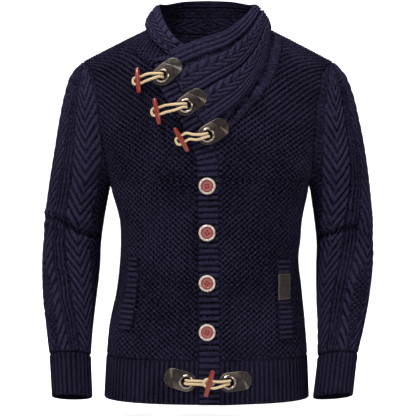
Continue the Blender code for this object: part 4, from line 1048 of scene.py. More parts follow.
def sleeves():
    look = sleeveKnit
    angles = np.pi + 2 * np.pi * np.arange(look["columns"]) / look["columns"]
    anglesIn = angles[::5]
    ts, tsIn = np.linspace(0, 1, look["rows"]), np.linspace(0, 1, 34)
    for side in (-1, 1):
        def pressed(points, t):  # the creases, on the front of the sleeve only
            centre = points.mean(axis=1, keepdims=True)
            ahead = ease((centre[..., 1] - points[..., 1]) / 0.03)
            return creases(points, sleeveCreases[side]), ahead, t > 0.03, centre

        t, angle = np.meshgrid(ts, angles, indexing="ij")
        base = sleeveAt(side, t, angle, elbowAt(t, angle))
        groove, ahead, clear, centre = pressed(base, t)
        base = base + (groove * ahead * clear)[..., None] * outwards(base, True, centre)
        base[0, :, 0] -= side * 0.001
        length = look["length"]
        near = ease(t * length / 0.004) * ease((1 - t) * length / 0.004)
        height = sink(sleeveRelief(side, base, 50 + side), near, 0.0005)
        tIn, angleIn = np.meshgrid(tsIn, anglesIn, indexing="ij")
        inner = sleeveAt(side, tIn, angleIn, bodyWall + np.clip(elbowAt(tIn, angleIn), 0, 1))
        inner[0] = armhole(side, anglesIn) + armholeMitre(side, anglesIn)
        inner[0, :, 0] += side * seamGap
        groove, ahead, clear, centre = pressed(inner, tIn)
        inner += (np.minimum(groove, 0) * ahead * clear)[..., None] * outwards(inner, True, centre)
        uv = pair(np.linspace(0, 2 * np.pi * 0.05, look["columns"] + 1)[None, :], ts[:, None] * length)
        names = (f"{hand(side)}_sleeve", f"sleeve_{hand(side)}", "cable_knit")
        clothPiece(names, cableKnit, base, height, inner, (angles, anglesIn, [0], [0]), uv,
                   base.mean(axis=1, keepdims=True), wrap=True)


sleeves()
print("sleeves made")


def cuffs():
    start, end, fall = 1.002, 1.15, 0.0745
    count = ribbing["cuffRibs"] * ribbing["samples"]
    angles = np.pi + 2 * np.pi * np.arange(count) / count
    anglesIn = angles[::3]
    ts = np.linspace(end - 0.004 / fall * (end - start), start, ribbing["rows"] - 5)
    ts = np.concatenate([end - freeEdge / fall * (end - start), ts])
    tsIn = np.concatenate([ts[:5], np.linspace(end - 0.01 / fall * (end - start), start, 6)])
    for side in (-1, 1):
        t, angle = np.meshgrid(ts, angles, indexing="ij")
        base = sleeveAt(side, t, angle)
        drop = (end - t) / (end - start) * fall
        phase = np.arange(count)[None, :] / ribbing["samples"] + 0.05 * softNoise(angle, t, 0.4, 8)
        height = ribbedBand(phase, ease((fall - drop) / 0.005), drop, 0.0011)
        tIn, angleIn = np.meshgrid(tsIn, anglesIn, indexing="ij")
        inner = sleeveAt(side, tIn, angleIn, ribbedWall - roundedEdge((end - tIn) / (end - start) * fall))
        uv = pair(np.linspace(0, 0.24, count + 1)[None, :], (end - ts[:, None]) / (end - start) * fall)
        names = (f"{hand(side)}_cuff", f"cuff_{hand(side)}", "ribbed_knit")
        clothPiece(names, ribbedKnit, base, height, inner, (angles, anglesIn, [0], [0]), uv,
                   base.mean(axis=1, keepdims=True), wrap=True)


cuffs()
print("cuffs made")

# Placket, neck bands and pocket welts lie on the fronts

placketLook = {"rib": 0.0105, "samples": 7, "columns": 22}
buttonHeights = (-0.2888, -0.3704, -0.4596, -0.5451)
behind = np.array([0, 0.01, 0])


def placket():
    ribs = round(placketLength / placketLook["rib"])
    rows = np.linspace(0, 1, placketLook["samples"] * ribs + 1)
    rowsIn = np.linspace(0, 1, 2 * ribs + 1)
    edge = np.array([0.0, 0.012, 0.035, 0.07])
    across = np.concatenate([-1 + edge, np.linspace(-0.9, 0.9, placketLook["columns"] - 8), (1 - edge)[::-1]])
    acrossIn = np.linspace(-1, 1, 7)

    def grid(share, span, rise):
        x, z, sideX, sideZ, half, _ = placketFrame(share)
        xs = x[:, None] + sideX[:, None] * half[:, None] * span[None, :]
        zs = z[:, None] + sideZ[:, None] * half[:, None] * span[None, :]
        return overFront(xs, zs, placketRise(zs) + rise)

    flat = 0 * rows[:, None] * across[None, :]
    base = grid(rows, across, ribbedWall + flat)
    along = rows[:, None] * placketLength + flat
    drift = 0.0016 * softNoise(along, across[None, :] * 0.02, 0.05, 3)
    for z in buttonHeights:  # the ribs are drawn in round each button
        away = base[..., 2] - z
        pull = 0.0022 * np.sign(away) * np.exp(-((np.abs(away) - 0.006) / 0.012) ** 2)
        drift = drift + pull * (np.abs(across[None, :]) - 0.3)
    height = ribHeight((along + drift) / placketLook["rib"], -0.0013, 0.0012)
    near = ease((1 - np.abs(across[None, :])) / 0.1) + flat
    height = sink(height, near, 0.0015)
    uv = pair(across[None, :] * placketHalf, along)
    inner = grid(rowsIn, acrossIn, 0 * rowsIn[:, None] * acrossIn[None, :])
    names = ("button_band", "placket", "ribbed_knit")
    clothPiece(names, bandKnit, base, height, inner, (across, acrossIn, rows, rowsIn), uv,
               base + behind)


def neckBands():
    for side in (-1, 1):
        rows = neckBandForm[side]
        span = rows["s"][-1]
        at = np.linspace(0, span, 90 if side > 0 else 50)
        atIn = np.linspace(0, span, 24)
        across, acrossIn = np.linspace(0, 1, 31), np.linspace(0, 1, 6)

        def grid(along, wide, rise):
            cx, cz, bx, bz = (spline(along, rows["s"], rows[c])[:, None] for c in bandColumns.split()[1:])
            x, z = cx + (bx - cx) * wide[None, :], cz + (bz - cz) * wide[None, :]
            return onFront(x, z, rise + 0 * x, side > 0)

        base = grid(at, across, 0.0033)
        flow, wide = stepsAlong(base, 0), stepsAlong(base, 1)
        height = 0.0004 * softNoise(flow, wide, 0.02, 21) + 0 * flow
        if side < 0:
            height = 0.8 * riceHeight(wide, np.arange(len(at))[:, None], riceStitch["rows"], 23)
        if side > 0:  # the soft fold down the plain band
            middle = 0.52 + 0.1 * np.sin(at / span * 3.0)[:, None]
            away = across[None, :] - middle
            height = height - 0.0013 * np.exp(-((away / 0.07) ** 2)) + 0.0006 * np.exp(-(((away + 0.18) / 0.1) ** 2))
        rim = np.minimum(across, 1 - across)[None, :] + 0 * height
        height = sink(height, ease(rim / 0.1) * ease(np.minimum(at, span - at)[:, None] / 0.12), 0.0012)
        inner = grid(atIn, acrossIn, 0.0016 if side > 0 else 0.0013)
        names = (f"{hand(side)}_neck_band", f"neck_band_{hand(side)}", "plain_knit")
        clothPiece(names, plainKnit if side > 0 else riceKnit, base, height, inner, (across, acrossIn, at, atIn),
                   pair(wide, flow), base + behind)


def welts():
    for side in (-1, 1):
        rows = weltForm[side]
        low, high = rows["z"][0], rows["z"][-1]
        ribs = round((high - low) / 0.0092)
        levels, levelsIn = np.linspace(low, high, 7 * ribs + 1), np.linspace(low, high, 2 * ribs + 1)
        across, acrossIn = np.linspace(0, 1, 15), np.linspace(0, 1, 5)

        def grid(zs, wide, rise):
            ahead, edge = (spline(zs, rows["z"], rows[column])[:, None] for column in ("front", "side"))
            x = ahead + (edge - ahead) * wide[None, :]
            return onFront(x, zs[:, None] + 0 * x, rise + 0 * x)

        base = grid(levels, across, 0.0036)
        flow, wide = stepsAlong(base, 0), stepsAlong(base, 1)
        slant = 0.06 * across[None, :] * side
        height = ribHeight((levels[:, None] - low) / (high - low) * ribs + slant, -0.0012, 0.0012)
        near = ease(np.minimum(across, 1 - across)[None, :] / 0.12)
        height = sink(height, near * ease(np.minimum(levels - low, high - levels)[:, None] / 0.003), 0.0012)
        inner = grid(levelsIn, acrossIn, 0.0018 if side > 0 else 0.0011)
        names = (f"{hand(side)}_pocket_welt", f"welt_{hand(side)}", "ribbed_knit")
        clothPiece(names, bandKnit, base, height, inner, (across, acrossIn, levels, levelsIn),
                   pair(wide, flow), base + behind)


placket()
neckBands()
welts()
print("placket, neck bands and welts made")

# Shawl collar

def strandHeight(phase, rise):
    f = phase % 1.0
    return rise * np.maximum(1 - (2 * f - 1) ** 2, 0) ** 0.7


collarLook = {
    "along": 300, "down": 90, "rise": 0.0034,
    "ribs": {1: [(0.02, 0.22), (0.5, 0.6), (0.84, 1.0)], -1: [(0.52, 0.6)]}, "ribEach": 0.062,
    "cables": {1: [(0.385, 0.105), (0.72, 0.11)], -1: [(0.28, 0.25), (0.8, 0.2)]}, "pitch": 0.018, "steep": 1.7,
    "grooves": {1: [(0.245, 0.022, 0.0042), (0.605, 0.02, 0.0034)], -1: []},
}


def underTabs(x, z):  # 1 where a leather tab lies
    covered = np.zeros(np.shape(x))
    for ex, ez, fx, fz in tabForm["places"][:3]:
        a, b = np.array([ex, ez]), np.array([fx, fz])
        away = fromLine(x, z, a, a + (b - a) / np.linalg.norm(b - a) * tabForm["span"])
        covered = np.maximum(covered, 1 - ease((away - tabForm["radius"] - 0.001) / 0.004))
    return covered


def collarGrid(side, share, w, inset):
    step, start = 1e-3, 0.004
    ss = start + share[:, None] * (collarEnd(side, w) - start)[None, :]
    ww = np.broadcast_to(w, ss.shape)
    along = collarPoint(side, ss + step * 9, ww) - collarPoint(side, ss - step * 9, ww)
    down = collarPoint(side, ss, np.clip(ww + step, 0, 1)) - collarPoint(side, ss, np.clip(ww - step, 0, 1))
    normal = np.cross(along, down) * side
    normal /= np.linalg.norm(normal, axis=-1, keepdims=True)
    fold = np.sqrt(1 - np.clip(1 - (ww + 0.0015) / 0.07, 0, 1) ** 2)
    depth = collarWall / 2 - fold * (collarWall / 2 - inset)
    points = collarPoint(side, ss, ww) - depth[..., None] * normal
    points[0, :, 0] = 0.0
    return points, normal, ss, ww


def collarRelief(points, ss, ww, side, seed):
    look = collarLook
    flow, wide = stepsAlong(points, 0), stepsAlong(points, 1)[:, -1:]
    wave = 0.01 * softNoise(flow, ww * 0.1, 0.03, seed)
    w = ww + wave
    height = np.full(w.shape, 0.0)
    weight = np.full(w.shape, 1e-6)

    def add(low, high, part, soft=0.012):
        nonlocal height, weight
        share = ease((w - low) / soft + 0.5) * (1 - ease((w - high) / soft + 0.5))
        height, weight = height + share * part, weight + share

    for low, high in look["ribs"][side]:
        count = max(round((high - low) / look["ribEach"]), 1)
        add(low, high, ribHeight((w - low) / (high - low) * count, -0.0018, 0.0012))
    for middle, half in look["cables"][side]:
        e = np.clip(np.abs(w - middle) / half, 0, 1)
        run = flow + 0.001 * softNoise(flow, ww, 0.03, seed + 1) - look["steep"] * half * wide * (1 - e)
        rope = strandHeight(run / look["pitch"], look["rise"])
        rope = rope * (1 - ease((e - 0.84) / 0.16)) - 0.0018 * np.exp(-((e / 0.08) ** 2)) - 0.0022
        add(middle - half, middle + half, rope)
    height = height / weight
    grooves = 0 * height
    for (middle, width, deep), (begin, run) in zip(look["grooves"][side], ((2.2, 1.4), (3.0, 1.4))):
        deep, away = deep * ease((ss - begin) / run), w - middle
        grooves = grooves - deep * np.exp(-((away / width) ** 2))
        grooves = grooves + 0.3 * deep * np.exp(-(((away - 2.4 * width) / (1.5 * width)) ** 2))
    near = ease(ww / 0.09) * ease((1 - ww) / 0.03) * ease(flow / 0.003) * ease((flow[-1:] - flow) / 0.004)
    height = height * near - 0.0008 * (1 - near) * (ww > 0.2) + grooves * ease((1 - ww) / 0.03)
    covered = underTabs(points[..., 0], points[..., 2]) * (points[..., 1] < 0)
    return np.where(covered > 0, np.minimum(height, 0.0002 * covered + 0.0012 * (1 - covered)), height), flow


def collars():
    look = collarLook
    for side in (-1, 1):
        share, shareIn = np.linspace(0, 1, look["along"]), np.linspace(0, 1, 150)
        w = np.concatenate([[0.0, 0.006, 0.014, 0.024], np.linspace(0.036, 1.0, look["down"] - 4)])
        wIn = np.concatenate([[0.0, 0.006, 0.014, 0.024], np.linspace(0.036, 1.0, 44)])
        base, normal, ss, ww = collarGrid(side, share, w, 0.0)
        height, flow = collarRelief(base, ss, ww, side, 70 + side)
        inner, normalIn, ssIn, wwIn = collarGrid(side, shareIn, wIn, collarWall)
        flowIn = stepsAlong(inner, 0)
        e = np.clip(np.abs(wwIn - 0.46) / 0.1, 0, 1)
        rope = strandHeight((flowIn - 0.028 * (1 - e)) / 0.021, 0.0028) - 0.0014
        lines = ribHeight(wwIn / 0.062, -0.0013, 0.0008)
        inside = np.where(e < 1, rope, lines) * ease((wwIn - 0.03) / 0.05) * ease((1 - wwIn) / 0.1)
        hidden = ease((ssIn - 6.2) / 0.8)
        inside = inside * (1 - hidden) * ease(flowIn / 0.003)
        # sewn down to the neckline
        seat = (0.0015 + 0.008 * np.exp(-(((ssIn - 3.4) / 1.0) ** 2))) * ease((wwIn - 0.84) / 0.12)
        inner = inner - (inside + seat)[..., None] * normalIn
        inner[..., 2] -= 0.01 * np.exp(-(((ssIn - 3.1) / 0.6) ** 2)) * ease((wwIn - 0.84) / 0.12)
        # the inner face's relief sets its "crest" too: painted shade in its hollows and a painted highlight on its
        # ropes and ribs
        names = (f"{hand(side)}_collar", f"collar_{hand(side)}", "cable_knit")
        clothPiece(names, collarKnit, base, height, inner, (w, wIn, share, shareIn), pair(stepsAlong(base, 1), flow),
                   None, normal=normal,
                   innerLevel=0.35 + 240 * inside)


collars()
print("collar made")

# Leather tabs and the patch

tabLook = {"rings": 26, "around": 96, "crease": 0.0006, "creaseWide": 0.0007, "step": 0.0005}


def tabFrame(index):
    ex, ez, fx, fz = tabForm["places"][index]
    place, along = np.array([ex, ez]), np.array([fx - ex, fz - ez])
    along = along / np.linalg.norm(along)
    return place, along, np.array([-along[1], along[0]])


def tabCurve(index):
    place, along, side = tabFrame(index)
    r, span = tabForm["radius"], tabForm["span"]
    u, v = np.meshgrid(np.linspace(-r, span + r, 13), np.linspace(-r, r, 9))
    flat = place + u[..., None] * along + v[..., None] * side
    x, z = flat[..., 0].ravel(), flat[..., 1].ravel()
    rise = coverRise(x, z) if index < 3 else ribRise + 0 * z
    lapped = lapAt(x, z) if index == 4 else 0.0
    depth = overFront(x, z, rise + lapped)[:, 1]
    terms = np.stack([1 + 0 * x, x, z, x * x, x * z, z * z], axis=1)
    fitted = np.linalg.lstsq(terms, depth, rcond=None)[0]
    fitted[0] += np.min(depth - terms @ fitted) - 0.0004
    return fitted


def tabPoint(index, x, z, rise):
    fitted = tabCurve(index)
    depth = sum(c * term for c, term in zip(fitted, (1, x, z, x * x, x * z, z * z)))
    return np.stack(np.broadcast_arrays(x, depth - rise, z), axis=-1)


def lineGap(u, v, a, b):  # distance from a line drawn on the tab, and its sign says which side
    run = np.array(b) - np.array(a)
    return ((u - a[0]) * run[1] - (v - a[1]) * run[0]) / np.linalg.norm(run)


def tabs():
    r, span, hole = tabForm["radius"], tabForm["span"], tabForm["hole"] + 0.0004
    for index in range(5):
        place, along, side = tabFrame(index)
        turns = 2 * np.pi * np.arange(tabLook["around"]) / tabLook["around"]
        cu, cv = np.cos(turns), np.sin(turns)
        straight = r / np.maximum(np.abs(cv), 1e-9)
        rounded = span * cu + np.sqrt(np.maximum(r**2 - (span * cv) ** 2, 0.0))
        far = np.where(cu > 0, np.where(straight * cu > span, rounded, straight), r)
        share = np.concatenate([[0, 0.02], np.linspace(0.06, 0.94, tabLook["rings"] - 4), [0.98, 1.0]])
        size = hole + (far[None, :] - hole) * share[:, None]
        u, v = size * cu, size * cv
        flat = place + u[..., None] * along + v[..., None] * side
        base = tabPoint(index, flat[..., 0], flat[..., 1], tabForm["thick"])
        rimAway = (far[None, :] - size)
        height = -0.0007 * (1 - ease(rimAway / 0.0011)) - 0.0003 * (1 - ease((size - hole) / 0.001))
        # two folds cross towards the far end, and the leather steps down past them
        first = lineGap(u, v, (0.0247, r), (0.028, -0.0143))
        second = lineGap(u, v, (0.0176, 0.0157), (0.0329, -0.0082))
        pastFirst, pastSecond = ease(-first / 0.0008 + 0.5), ease(-second / 0.0008 + 0.5)
        cap, corner = pastFirst * pastSecond, pastFirst * (1 - pastSecond)
        step = tabLook["step"] * (1.3 * cap + 0.5 * pastSecond * (1 - pastFirst))
        height = height - step - 0.06 * cap * np.abs(first)
        for gap in (first, second):
            height = height - tabLook["crease"] * np.exp(-((gap / tabLook["creaseWide"]) ** 2))
        height = height + 0.0003 * softNoise(u, v, 0.009, 60 + index)
        # painted light: the pointed corner is painted paler as a highlight, the cap past both folds and the strip past
        # the second fold darker as shade, one long side paler than the other; the rim paler for rubbed wear and a
        # painted highlight
        wearAndPaintedLight = 0.45 + 0.5 * corner - 0.3 * cap - 0.15 * pastSecond + 0.25 * np.clip(v / r, -1, 1)
        wearAndPaintedLight = wearAndPaintedLight + 0.5 * np.clip(1 - rimAway / 0.0012, 0, 1)
        inner = tabPoint(index, flat[::5, ::4, 0], flat[::5, ::4, 1], 0.0)
        closed = [np.concatenate([part, part[:, :1]], axis=1) for part in (u, v)]
        area = math.pi * (r**2 - hole**2) + 2 * r * span
        names = (f"leather_tab_{index + 1}", f"tab_{index + 1}", "leather")
        clothPiece(names, leather, base, height, inner, (turns, turns[::4], [0], [0]), pair(*closed),
                   base + behind, wrap=True, smoothOver=50,
                   wearAndPaintedLight=wearAndPaintedLight, cut=((2 * r, span + 2 * r), area))


patchForm = {"x": (0.122, 0.1425), "z": (-0.4897, -0.4452), "lift": 0.0052, "thick": 0.0015}


def patch():
    xs, zs = np.linspace(*patchForm["x"], 28), np.linspace(*patchForm["z"], 56)
    across, up = np.meshgrid(xs, zs)
    base = onFront(across, up, patchForm["lift"] + patchForm["thick"] + 0 * across)
    rim = np.minimum(np.minimum(across - xs[0], xs[-1] - across), np.minimum(up - zs[0], zs[-1] - up))
    height = -0.0006 * (1 - ease(rim / 0.0012))
    sewn = np.exp(-(((rim - 0.0024) / 0.0005) ** 2))
    height = height - 0.0003 * sewn + 0.0002 * softNoise(across, up, 0.008, 40)
    innerX, innerZ = np.meshgrid(np.linspace(*patchForm["x"], 8), np.linspace(*patchForm["z"], 12))
    inner = onFront(innerX, innerZ, patchForm["lift"] + 0 * innerX)
    # the leather's pale tone grows towards the rim: rubbed wear and a painted highlight
    clothPiece(("leather_patch", "patch", "leather"), leather, base, height, inner, (xs, innerX[0], zs, innerZ[:, 0]),
               pair(across, up), base + behind, smoothOver=50, wearAndPaintedLight=1 - rim / 0.0016)


tabs()
patch()
print("leather made")

# Hard fastenings, modelled with Blender's own operators


def deselectAll():
    if bpy.context.object and bpy.context.object.mode != "OBJECT":
        bpy.ops.object.mode_set(mode="OBJECT")
    bpy.ops.object.select_all(action="DESELECT")


def turned(name, profile, segments, finish, ring=False):
    # A circle is drawn at the first radius, then its edge is extruded and scaled along the profile.
    mesh = bpy.ops.mesh
    deselectAll()
    radius, level = profile[0]
    mesh.primitive_circle_add(vertices=segments, radius=radius, fill_type="NOTHING", location=(0, 0, level))
    made = bpy.context.object
    made.name = made.data.name = name
    bpy.ops.object.transform_apply(location=True, rotation=True, scale=True)
    bpy.ops.object.mode_set(mode="EDIT")
    mesh.select_all(action="SELECT")
    for nextRadius, nextLevel in profile[1:]:
        mesh.extrude_edges_move(TRANSFORM_OT_translate={"value": (0, 0, nextLevel - level)})
        size = nextRadius / radius
        bpy.ops.transform.resize(value=(size, size, 1), center_override=(0, 0, nextLevel))
        radius, level = nextRadius, nextLevel
    if ring:
        mesh.select_all(action="SELECT")
        mesh.remove_doubles(threshold=0.00001)
    else:
        mesh.select_all(action="DESELECT")
        mesh.select_non_manifold(extend=False)
        mesh.fill_holes(sides=0)
    mesh.select_all(action="SELECT")
    mesh.normals_make_consistent(inside=False)
    bpy.ops.object.mode_set(mode="OBJECT")
    bpy.ops.object.shade_smooth_by_angle(angle=math.radians(35))
    made.data.materials.append(finish)
    return made


def bore(target, radius, depth, matrix, segments=24):
    deselectAll()
    bpy.ops.mesh.primitive_cylinder_add(vertices=segments, radius=radius, depth=depth)
    drillBit = bpy.context.object
    drillBit.matrix_world = matrix
    cut = target.modifiers.new("bore", "BOOLEAN")
    cut.operation, cut.solver, cut.object = "DIFFERENCE", "EXACT", drillBit
    deselectAll()
    target.select_set(True)
    bpy.context.view_layer.objects.active = target
    bpy.ops.object.modifier_apply(modifier=cut.name)
    bpy.data.objects.remove(drillBit, do_unlink=True)


def copyOf(model, name, matrix):
    made = bpy.data.objects.new(name, model.data.copy())
    bpy.context.collection.objects.link(made)
    made.matrix_world = matrix
    deselectAll()
    made.select_set(True)
    bpy.context.view_layer.objects.active = made
    bpy.ops.object.transform_apply(location=True, rotation=True, scale=True)
    return made


def frameAt(point, normal, along):
    z = Vector(normal).normalized()
    x = (Vector(along) - Vector(along).dot(z) * z).normalized()
    placed = Matrix((x, z.cross(x), z)).transposed().to_4x4()
    placed.translation = Vector(point)
    return placed


buttonForm = {"radius": 0.0147, "core": 0.0103, "segments": 64}


def buttons():
    r, core = buttonForm["radius"], buttonForm["core"]
    inner = core + seamGap
    ringProfile = [
        (inner, 0.0), (r - 0.0014, 0.0), (r - 0.0005, 0.0004), (r, 0.0014), (r - 0.0001, 0.0025), (r - 0.0007, 0.0034),
        (r - 0.0015, 0.004), (r - 0.0024, 0.0042), (r - 0.0034, 0.004), (inner + 0.0003, 0.0035),
        (inner, 0.0031), (inner, 0.0),
    ]
    ringModel = turned("button_ring_model", ringProfile, buttonForm["segments"], horn, ring=True)
    coreProfile = [
        (core - 0.0003, 0.0), (core, 0.0003), (core, 0.0013), (core - 0.0006, 0.0019), (core - 0.0014, 0.0027),
        (core - 0.0024, 0.0029), (core - 0.0036, 0.0023), (0.005, 0.0018), (0.002, 0.0017),
    ]
    coreModel = turned("button_core_model", coreProfile, buttonForm["segments"], brick)
    for x, y in ((1, 1), (1, -1), (-1, 1), (-1, -1)):
        bore(coreModel, 0.0013, 0.02, Matrix.Translation((0.0023 * x, 0.0023 * y, 0)))
    for number, z in enumerate(buttonHeights, 1):
        centre = onFront(np.float64(-0.0016), np.float64(z), placketLift + ribbedWall + ribRise + seamGap)
        rise = onFront(np.float64(-0.0016), np.float64(z + 0.01)) - onFront(np.float64(-0.0016), np.float64(z - 0.01))
        placed = frameAt(centre, (0.0, -rise[2], rise[1]), (1, 0, 0)) @ Matrix.Rotation(0.3 * number, 4, "Z")
        ringPiece = copyOf(ringModel, f"horn_ring_{number}", placed)
        assign(ringPiece, f"button_{number}")
        corePiece = copyOf(coreModel, f"brick_centre_{number}", placed)
        assign(corePiece, f"button_core_{number}")
    for model in (ringModel, coreModel):
        bpy.data.objects.remove(model, do_unlink=True)


def eyeletSeat(index):
    x, z = tabForm["places"][index][:2]
    step = 0.0005
    across = tabPoint(index, x + step, z, 0.0) - tabPoint(index, x - step, z, 0.0)
    up = tabPoint(index, x, z + step, 0.0) - tabPoint(index, x, z - step, 0.0)
    normal = np.cross(across, up)
    normal /= np.linalg.norm(normal)
    centre = tabPoint(index, x, z, tabForm["thick"])
    turn = np.linspace(0, 2 * np.pi, 24)
    r = tabForm["eyelet"]
    rim = tabPoint(index, x + r * np.cos(turn), z + r * np.sin(turn), tabForm["thick"])
    return centre + (max(((rim - centre) @ normal).max(), 0.0) + seamGap) * normal, normal


def eyelets():
    r, hole = tabForm["eyelet"], tabForm["hole"]
    profile = [
        (hole, 0.0), (r - 0.0006, 0.0), (r, 0.0004), (r - 0.0001, 0.0009), (r - 0.0009, 0.0016), (r - 0.0018, 0.0022),
        (r - 0.0027, 0.0025), (r - 0.0035, 0.0022), (hole + 0.0003, 0.0015), (hole, 0.0011), (hole, 0.0),
    ]
    model = turned("eyelet_model", profile, 72, copper, ring=True)
    for index in range(5):
        centre, normal = eyeletSeat(index)
        piece = copyOf(model, f"copper_eyelet_{index + 1}", frameAt(centre, normal, (1, 0, 0)))
        assign(piece, f"eyelet_{index + 1}")
    bpy.data.objects.remove(model, do_unlink=True)


def toggleFrame(index):
    x, z, lean, rise = toggleForm["places"][index]
    lean = math.radians(lean)
    up = np.array([-math.sin(lean), math.cos(lean)]) * 0.012
    middle = onFront(np.float64(x), np.float64(z), rise)
    top, foot = onFront(x + up[0], z + up[1], rise), onFront(x - up[0], z - up[1], rise)
    along = (top - foot) / np.linalg.norm(top - foot)
    normal = middle - onFront(np.float64(x), np.float64(z), 0.0)
    normal = normal - normal.dot(along) * along
    normal /= np.linalg.norm(normal)
    return middle, normal, along, np.cross(along, normal)


def toggles():
    half, mid, end = toggleForm["half"], toggleForm["middle"], toggleForm["end"]
    profile = [
        (end - 0.0012, -half), (end - 0.0004, -half + 0.0003), (end, -half + 0.001), (end + 0.0006, -0.55 * half),
        (mid, -0.2 * half), (mid, 0.2 * half), (end + 0.0006, 0.55 * half), (end, half - 0.001),
        (end - 0.0004, half - 0.0003), (end - 0.0012, half),
    ]
    model = turned("toggle_model", profile, 40, wood)
    for k in (-1, 1):
        level = Matrix.Translation((0, 0, k * toggleForm["apart"]))
        bore(model, toggleForm["hole"], 0.024, level @ Matrix.Rotation(math.pi / 2, 4, "Y"))
    grain = model.data.uv_layers.new(name="GrainMap")
    for loop in model.data.loops:
        x, y, z = model.data.vertices[loop.vertex_index].co
        grain.data[loop.index].uv = (0.0045 * abs(math.atan2(y, x)), z)
    for index in range(4):
        middle, normal, along, across = toggleFrame(index)
        piece = copyOf(model, f"wood_toggle_{index + 1}", frameAt(middle, along, across))
        assign(piece, f"toggle_{index + 1}")
    bpy.data.objects.remove(model, do_unlink=True)


buttons()
eyelets()
toggles()
print("buttons, eyelets and toggles made")

# Jute cords: three strands laid together

ropeLook = {"radius": 0.0024, "lay": 0.0132, "around": 30, "step": 0.0006}


def rope(name, node, points):
    points = np.array(points)
    knots = distances(points)
    count = int(knots[-1] / ropeLook["step"]) + 1
    at = np.linspace(0, knots[-1], count)
    line = np.stack([spline(at, knots, points[:, k]) for k in range(3)], axis=1)
    travel = distances(line)
    tangent = np.gradient(line, axis=0)
    tangent /= np.linalg.norm(tangent, axis=1, keepdims=True)
    side = np.zeros_like(line)
    side[0] = np.cross(tangent[0], (0.3, 0.9, 0.2))
    for i in range(1, count):
        side[i] = side[i - 1] - side[i - 1].dot(tangent[i]) * tangent[i]
        side[i] /= np.linalg.norm(side[i])
    side[0] /= np.linalg.norm(side[0])
    other = np.cross(tangent, side)
    around = 2 * np.pi * np.arange(ropeLook["around"]) / ropeLook["around"]
    twist = 2 * np.pi * travel / ropeLook["lay"]
    local = (around[None, :] - twist[:, None]) % (2 * np.pi / 3) - np.pi / 3
    r, offset, strand = ropeLook["radius"], 0.46, 0.54
    radius = r * (offset * np.cos(local) + np.sqrt(strand**2 - (offset * np.sin(local)) ** 2))
    fuzz = 1 + 0.03 * softNoise(around[None, :] * 0.002, travel[:, None], 0.0011, 90)
    radius = radius * fuzz
    spoke = np.cos(around)[None, :, None] * side[:, None] + np.sin(around)[None, :, None] * other[:, None]
    grid = line[:, None] + radius[..., None] * spoke
    rows, columns = grid.shape[:2]
    faces, corners = gridFaces(rows, columns, True, 0)
    ends = [tuple(range(columns))[::-1], tuple((rows - 1) * columns + k for k in range(columns))]
    lane = (around[None, :] - twist[:, None]) * r
    lane = np.concatenate([lane, lane[:, :1] + 2 * np.pi * r], axis=1)
    uv = pair(lane, travel[:, None])
    loops = np.concatenate([uv[corners[..., 0], corners[..., 1]].reshape(-1, 2), np.zeros((2 * columns, 2))])
    # low between the strands, where the jute material paints shade into the grooves
    crest = ((radius / r - 0.59) / 0.41).ravel()
    addPiece(name, node, jute, grid.reshape(-1, 3), faces.tolist() + ends, "RopeMap", loops, crest)
    print(f"{name}: {travel[-1] * 1000:.0f} mm long")


def toggleCord(index, tabIndex):
    middle, normal, along, across = toggleFrame(index)
    centre, lift = eyeletSeat(tabIndex)
    toward = centre - middle
    outward = across if across.dot(toward) > 0 else -across

    def strandPoints(k):
        hole = middle + k * toggleForm["apart"] * along
        pair = along - along.dot(lift) * lift
        root = centre + k * 0.003 * pair
        leave = toward - toward.dot(lift) * lift
        leave /= np.linalg.norm(leave)
        free = [
            centre + k * 0.0042 * pair + 0.0064 * lift - 0.013 * leave,
            centre + k * 0.005 * pair + 0.0052 * lift - 0.019 * leave,
            hole + 0.011 * outward + 0.003 * normal,
        ]
        return [
            root - (0.0022 if tabIndex < 3 else 0.0017) * lift + 0.0015 * leave,
            root + 0.0022 * lift,
            root + 0.0068 * lift - 0.005 * leave,
            *free[:3 if tabIndex < 3 else 0],
            hole + 0.007 * outward,
            hole,
            hole - 0.0062 * outward,
        ]

    bend = [
        middle + 0.004 * along - 0.0088 * outward,
        middle - 0.0096 * outward,
        middle - 0.004 * along - 0.0088 * outward,
    ]
    rope(f"jute_cord_{index + 1}", f"cord_{index + 1}", strandPoints(1) + bend + strandPoints(-1)[::-1])


def hemLoop():
    middle, normal, along, across = toggleFrame(3)
    centre, lift = eyeletSeat(3)
    toward = middle - centre
    leave = toward - toward.dot(normal) * normal
    leave /= np.linalg.norm(leave)
    level = middle - 0.0083 * normal

    def strandPoints(k):
        side = k * 0.0029 * along
        return [
            centre + side - 0.0017 * lift - 0.0015 * leave,
            centre + side + 0.0022 * lift,
            centre + side + 0.0062 * lift + 0.005 * leave,
            centre + side + 0.0066 * lift + 0.014 * leave,
            level + side - 0.014 * leave,
            level + side,
            level + side + 0.0045 * leave + 0.0005 * normal,
        ]

    tip = [level + 0.0078 * leave + 0.001 * normal]
    rope("jute_cord_5", "cord_5", strandPoints(1) + tip + strandPoints(-1)[::-1])


for index in range(4):
    toggleCord(index, index if index < 3 else 4)
hemLoop()
print("cords made")

# Studio: a pale bowl-shaped sweep, soft lights and the photograph's camera

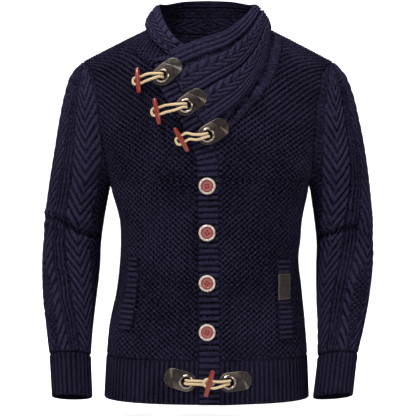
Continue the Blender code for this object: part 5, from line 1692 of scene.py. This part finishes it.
studio = {
    "floor": -0.745, "radius": 6.0, "wall": 1.6, "world": 0.1,
    "lights": [
        # place, watts, size, aim
        ((-1.2, -1.9, 2.5), 170.0, 0.7, (0, 0, -0.3)),
        ((2.2, -1.9, 0.9), 34.0, 1.0, (0, 0, -0.35)),
        ((0.0, -0.5, 2.4), 60.0, 0.9, (0, 0.1, -0.7)),
        ((0.0, 2.0, 2.6), 220.0, 3.0, (0, 4.6, -0.6)),
    ],
    "camera": (0.0, -2.4, -0.3275), "lens": 112.9,
}


def studioSweep():
    turns = np.linspace(0, np.pi / 2, 9)
    radius, floor = studio["radius"], studio["floor"]
    profile = [(radius - 1.2 + 1.2 * math.sin(turn), floor + 1.2 * (1 - math.cos(turn))) for turn in turns]
    profile = [(radius, floor + studio["wall"] + 1.2)] + profile[::-1]
    sweep = turned("paper_sweep", profile, 96, paper)
    top = max(v.co.z for v in sweep.data.vertices)
    shaped = bmesh.new()
    shaped.from_mesh(sweep.data)
    lid = [f for f in shaped.faces if all(v.co.z > top - 0.01 for v in f.verts)]
    bmesh.ops.delete(shaped, geom=lid, context="FACES_ONLY")
    bmesh.ops.reverse_faces(shaped, faces=shaped.faces)
    shaped.to_mesh(sweep.data)
    shaped.free()


def lights():
    world = bpy.data.worlds.new("studio_air")
    bpy.context.scene.world = world
    world.use_nodes = True
    world.node_tree.nodes["Background"].inputs["Color"].default_value = fromHex("#fbfbff")
    world.node_tree.nodes["Background"].inputs["Strength"].default_value = studio["world"]
    for number, (place, watts, size, aim) in enumerate(studio["lights"], 1):
        lamp = bpy.data.lights.new(f"softbox_{number}", "AREA")
        lamp.energy, lamp.size = watts, size
        box = bpy.data.objects.new(f"softbox_{number}", lamp)
        box.location = place
        box.rotation_euler = (Vector(aim) - Vector(place)).to_track_quat("-Z", "Y").to_euler()
        bpy.context.collection.objects.link(box)


def camera():
    lens = bpy.data.cameras.new("photo_camera")
    lens.lens, lens.sensor_width, lens.clip_start, lens.clip_end = studio["lens"], 36.0, 0.05, 50.0
    made = bpy.data.objects.new("photo_camera", lens)
    made.location = studio["camera"]
    made.rotation_euler = (math.pi / 2, 0, 0)
    bpy.context.collection.objects.link(made)
    bpy.context.scene.camera = made


studioSweep()
lights()
camera()
bpy.context.scene.view_settings.view_transform = "Standard"
print("studio made")
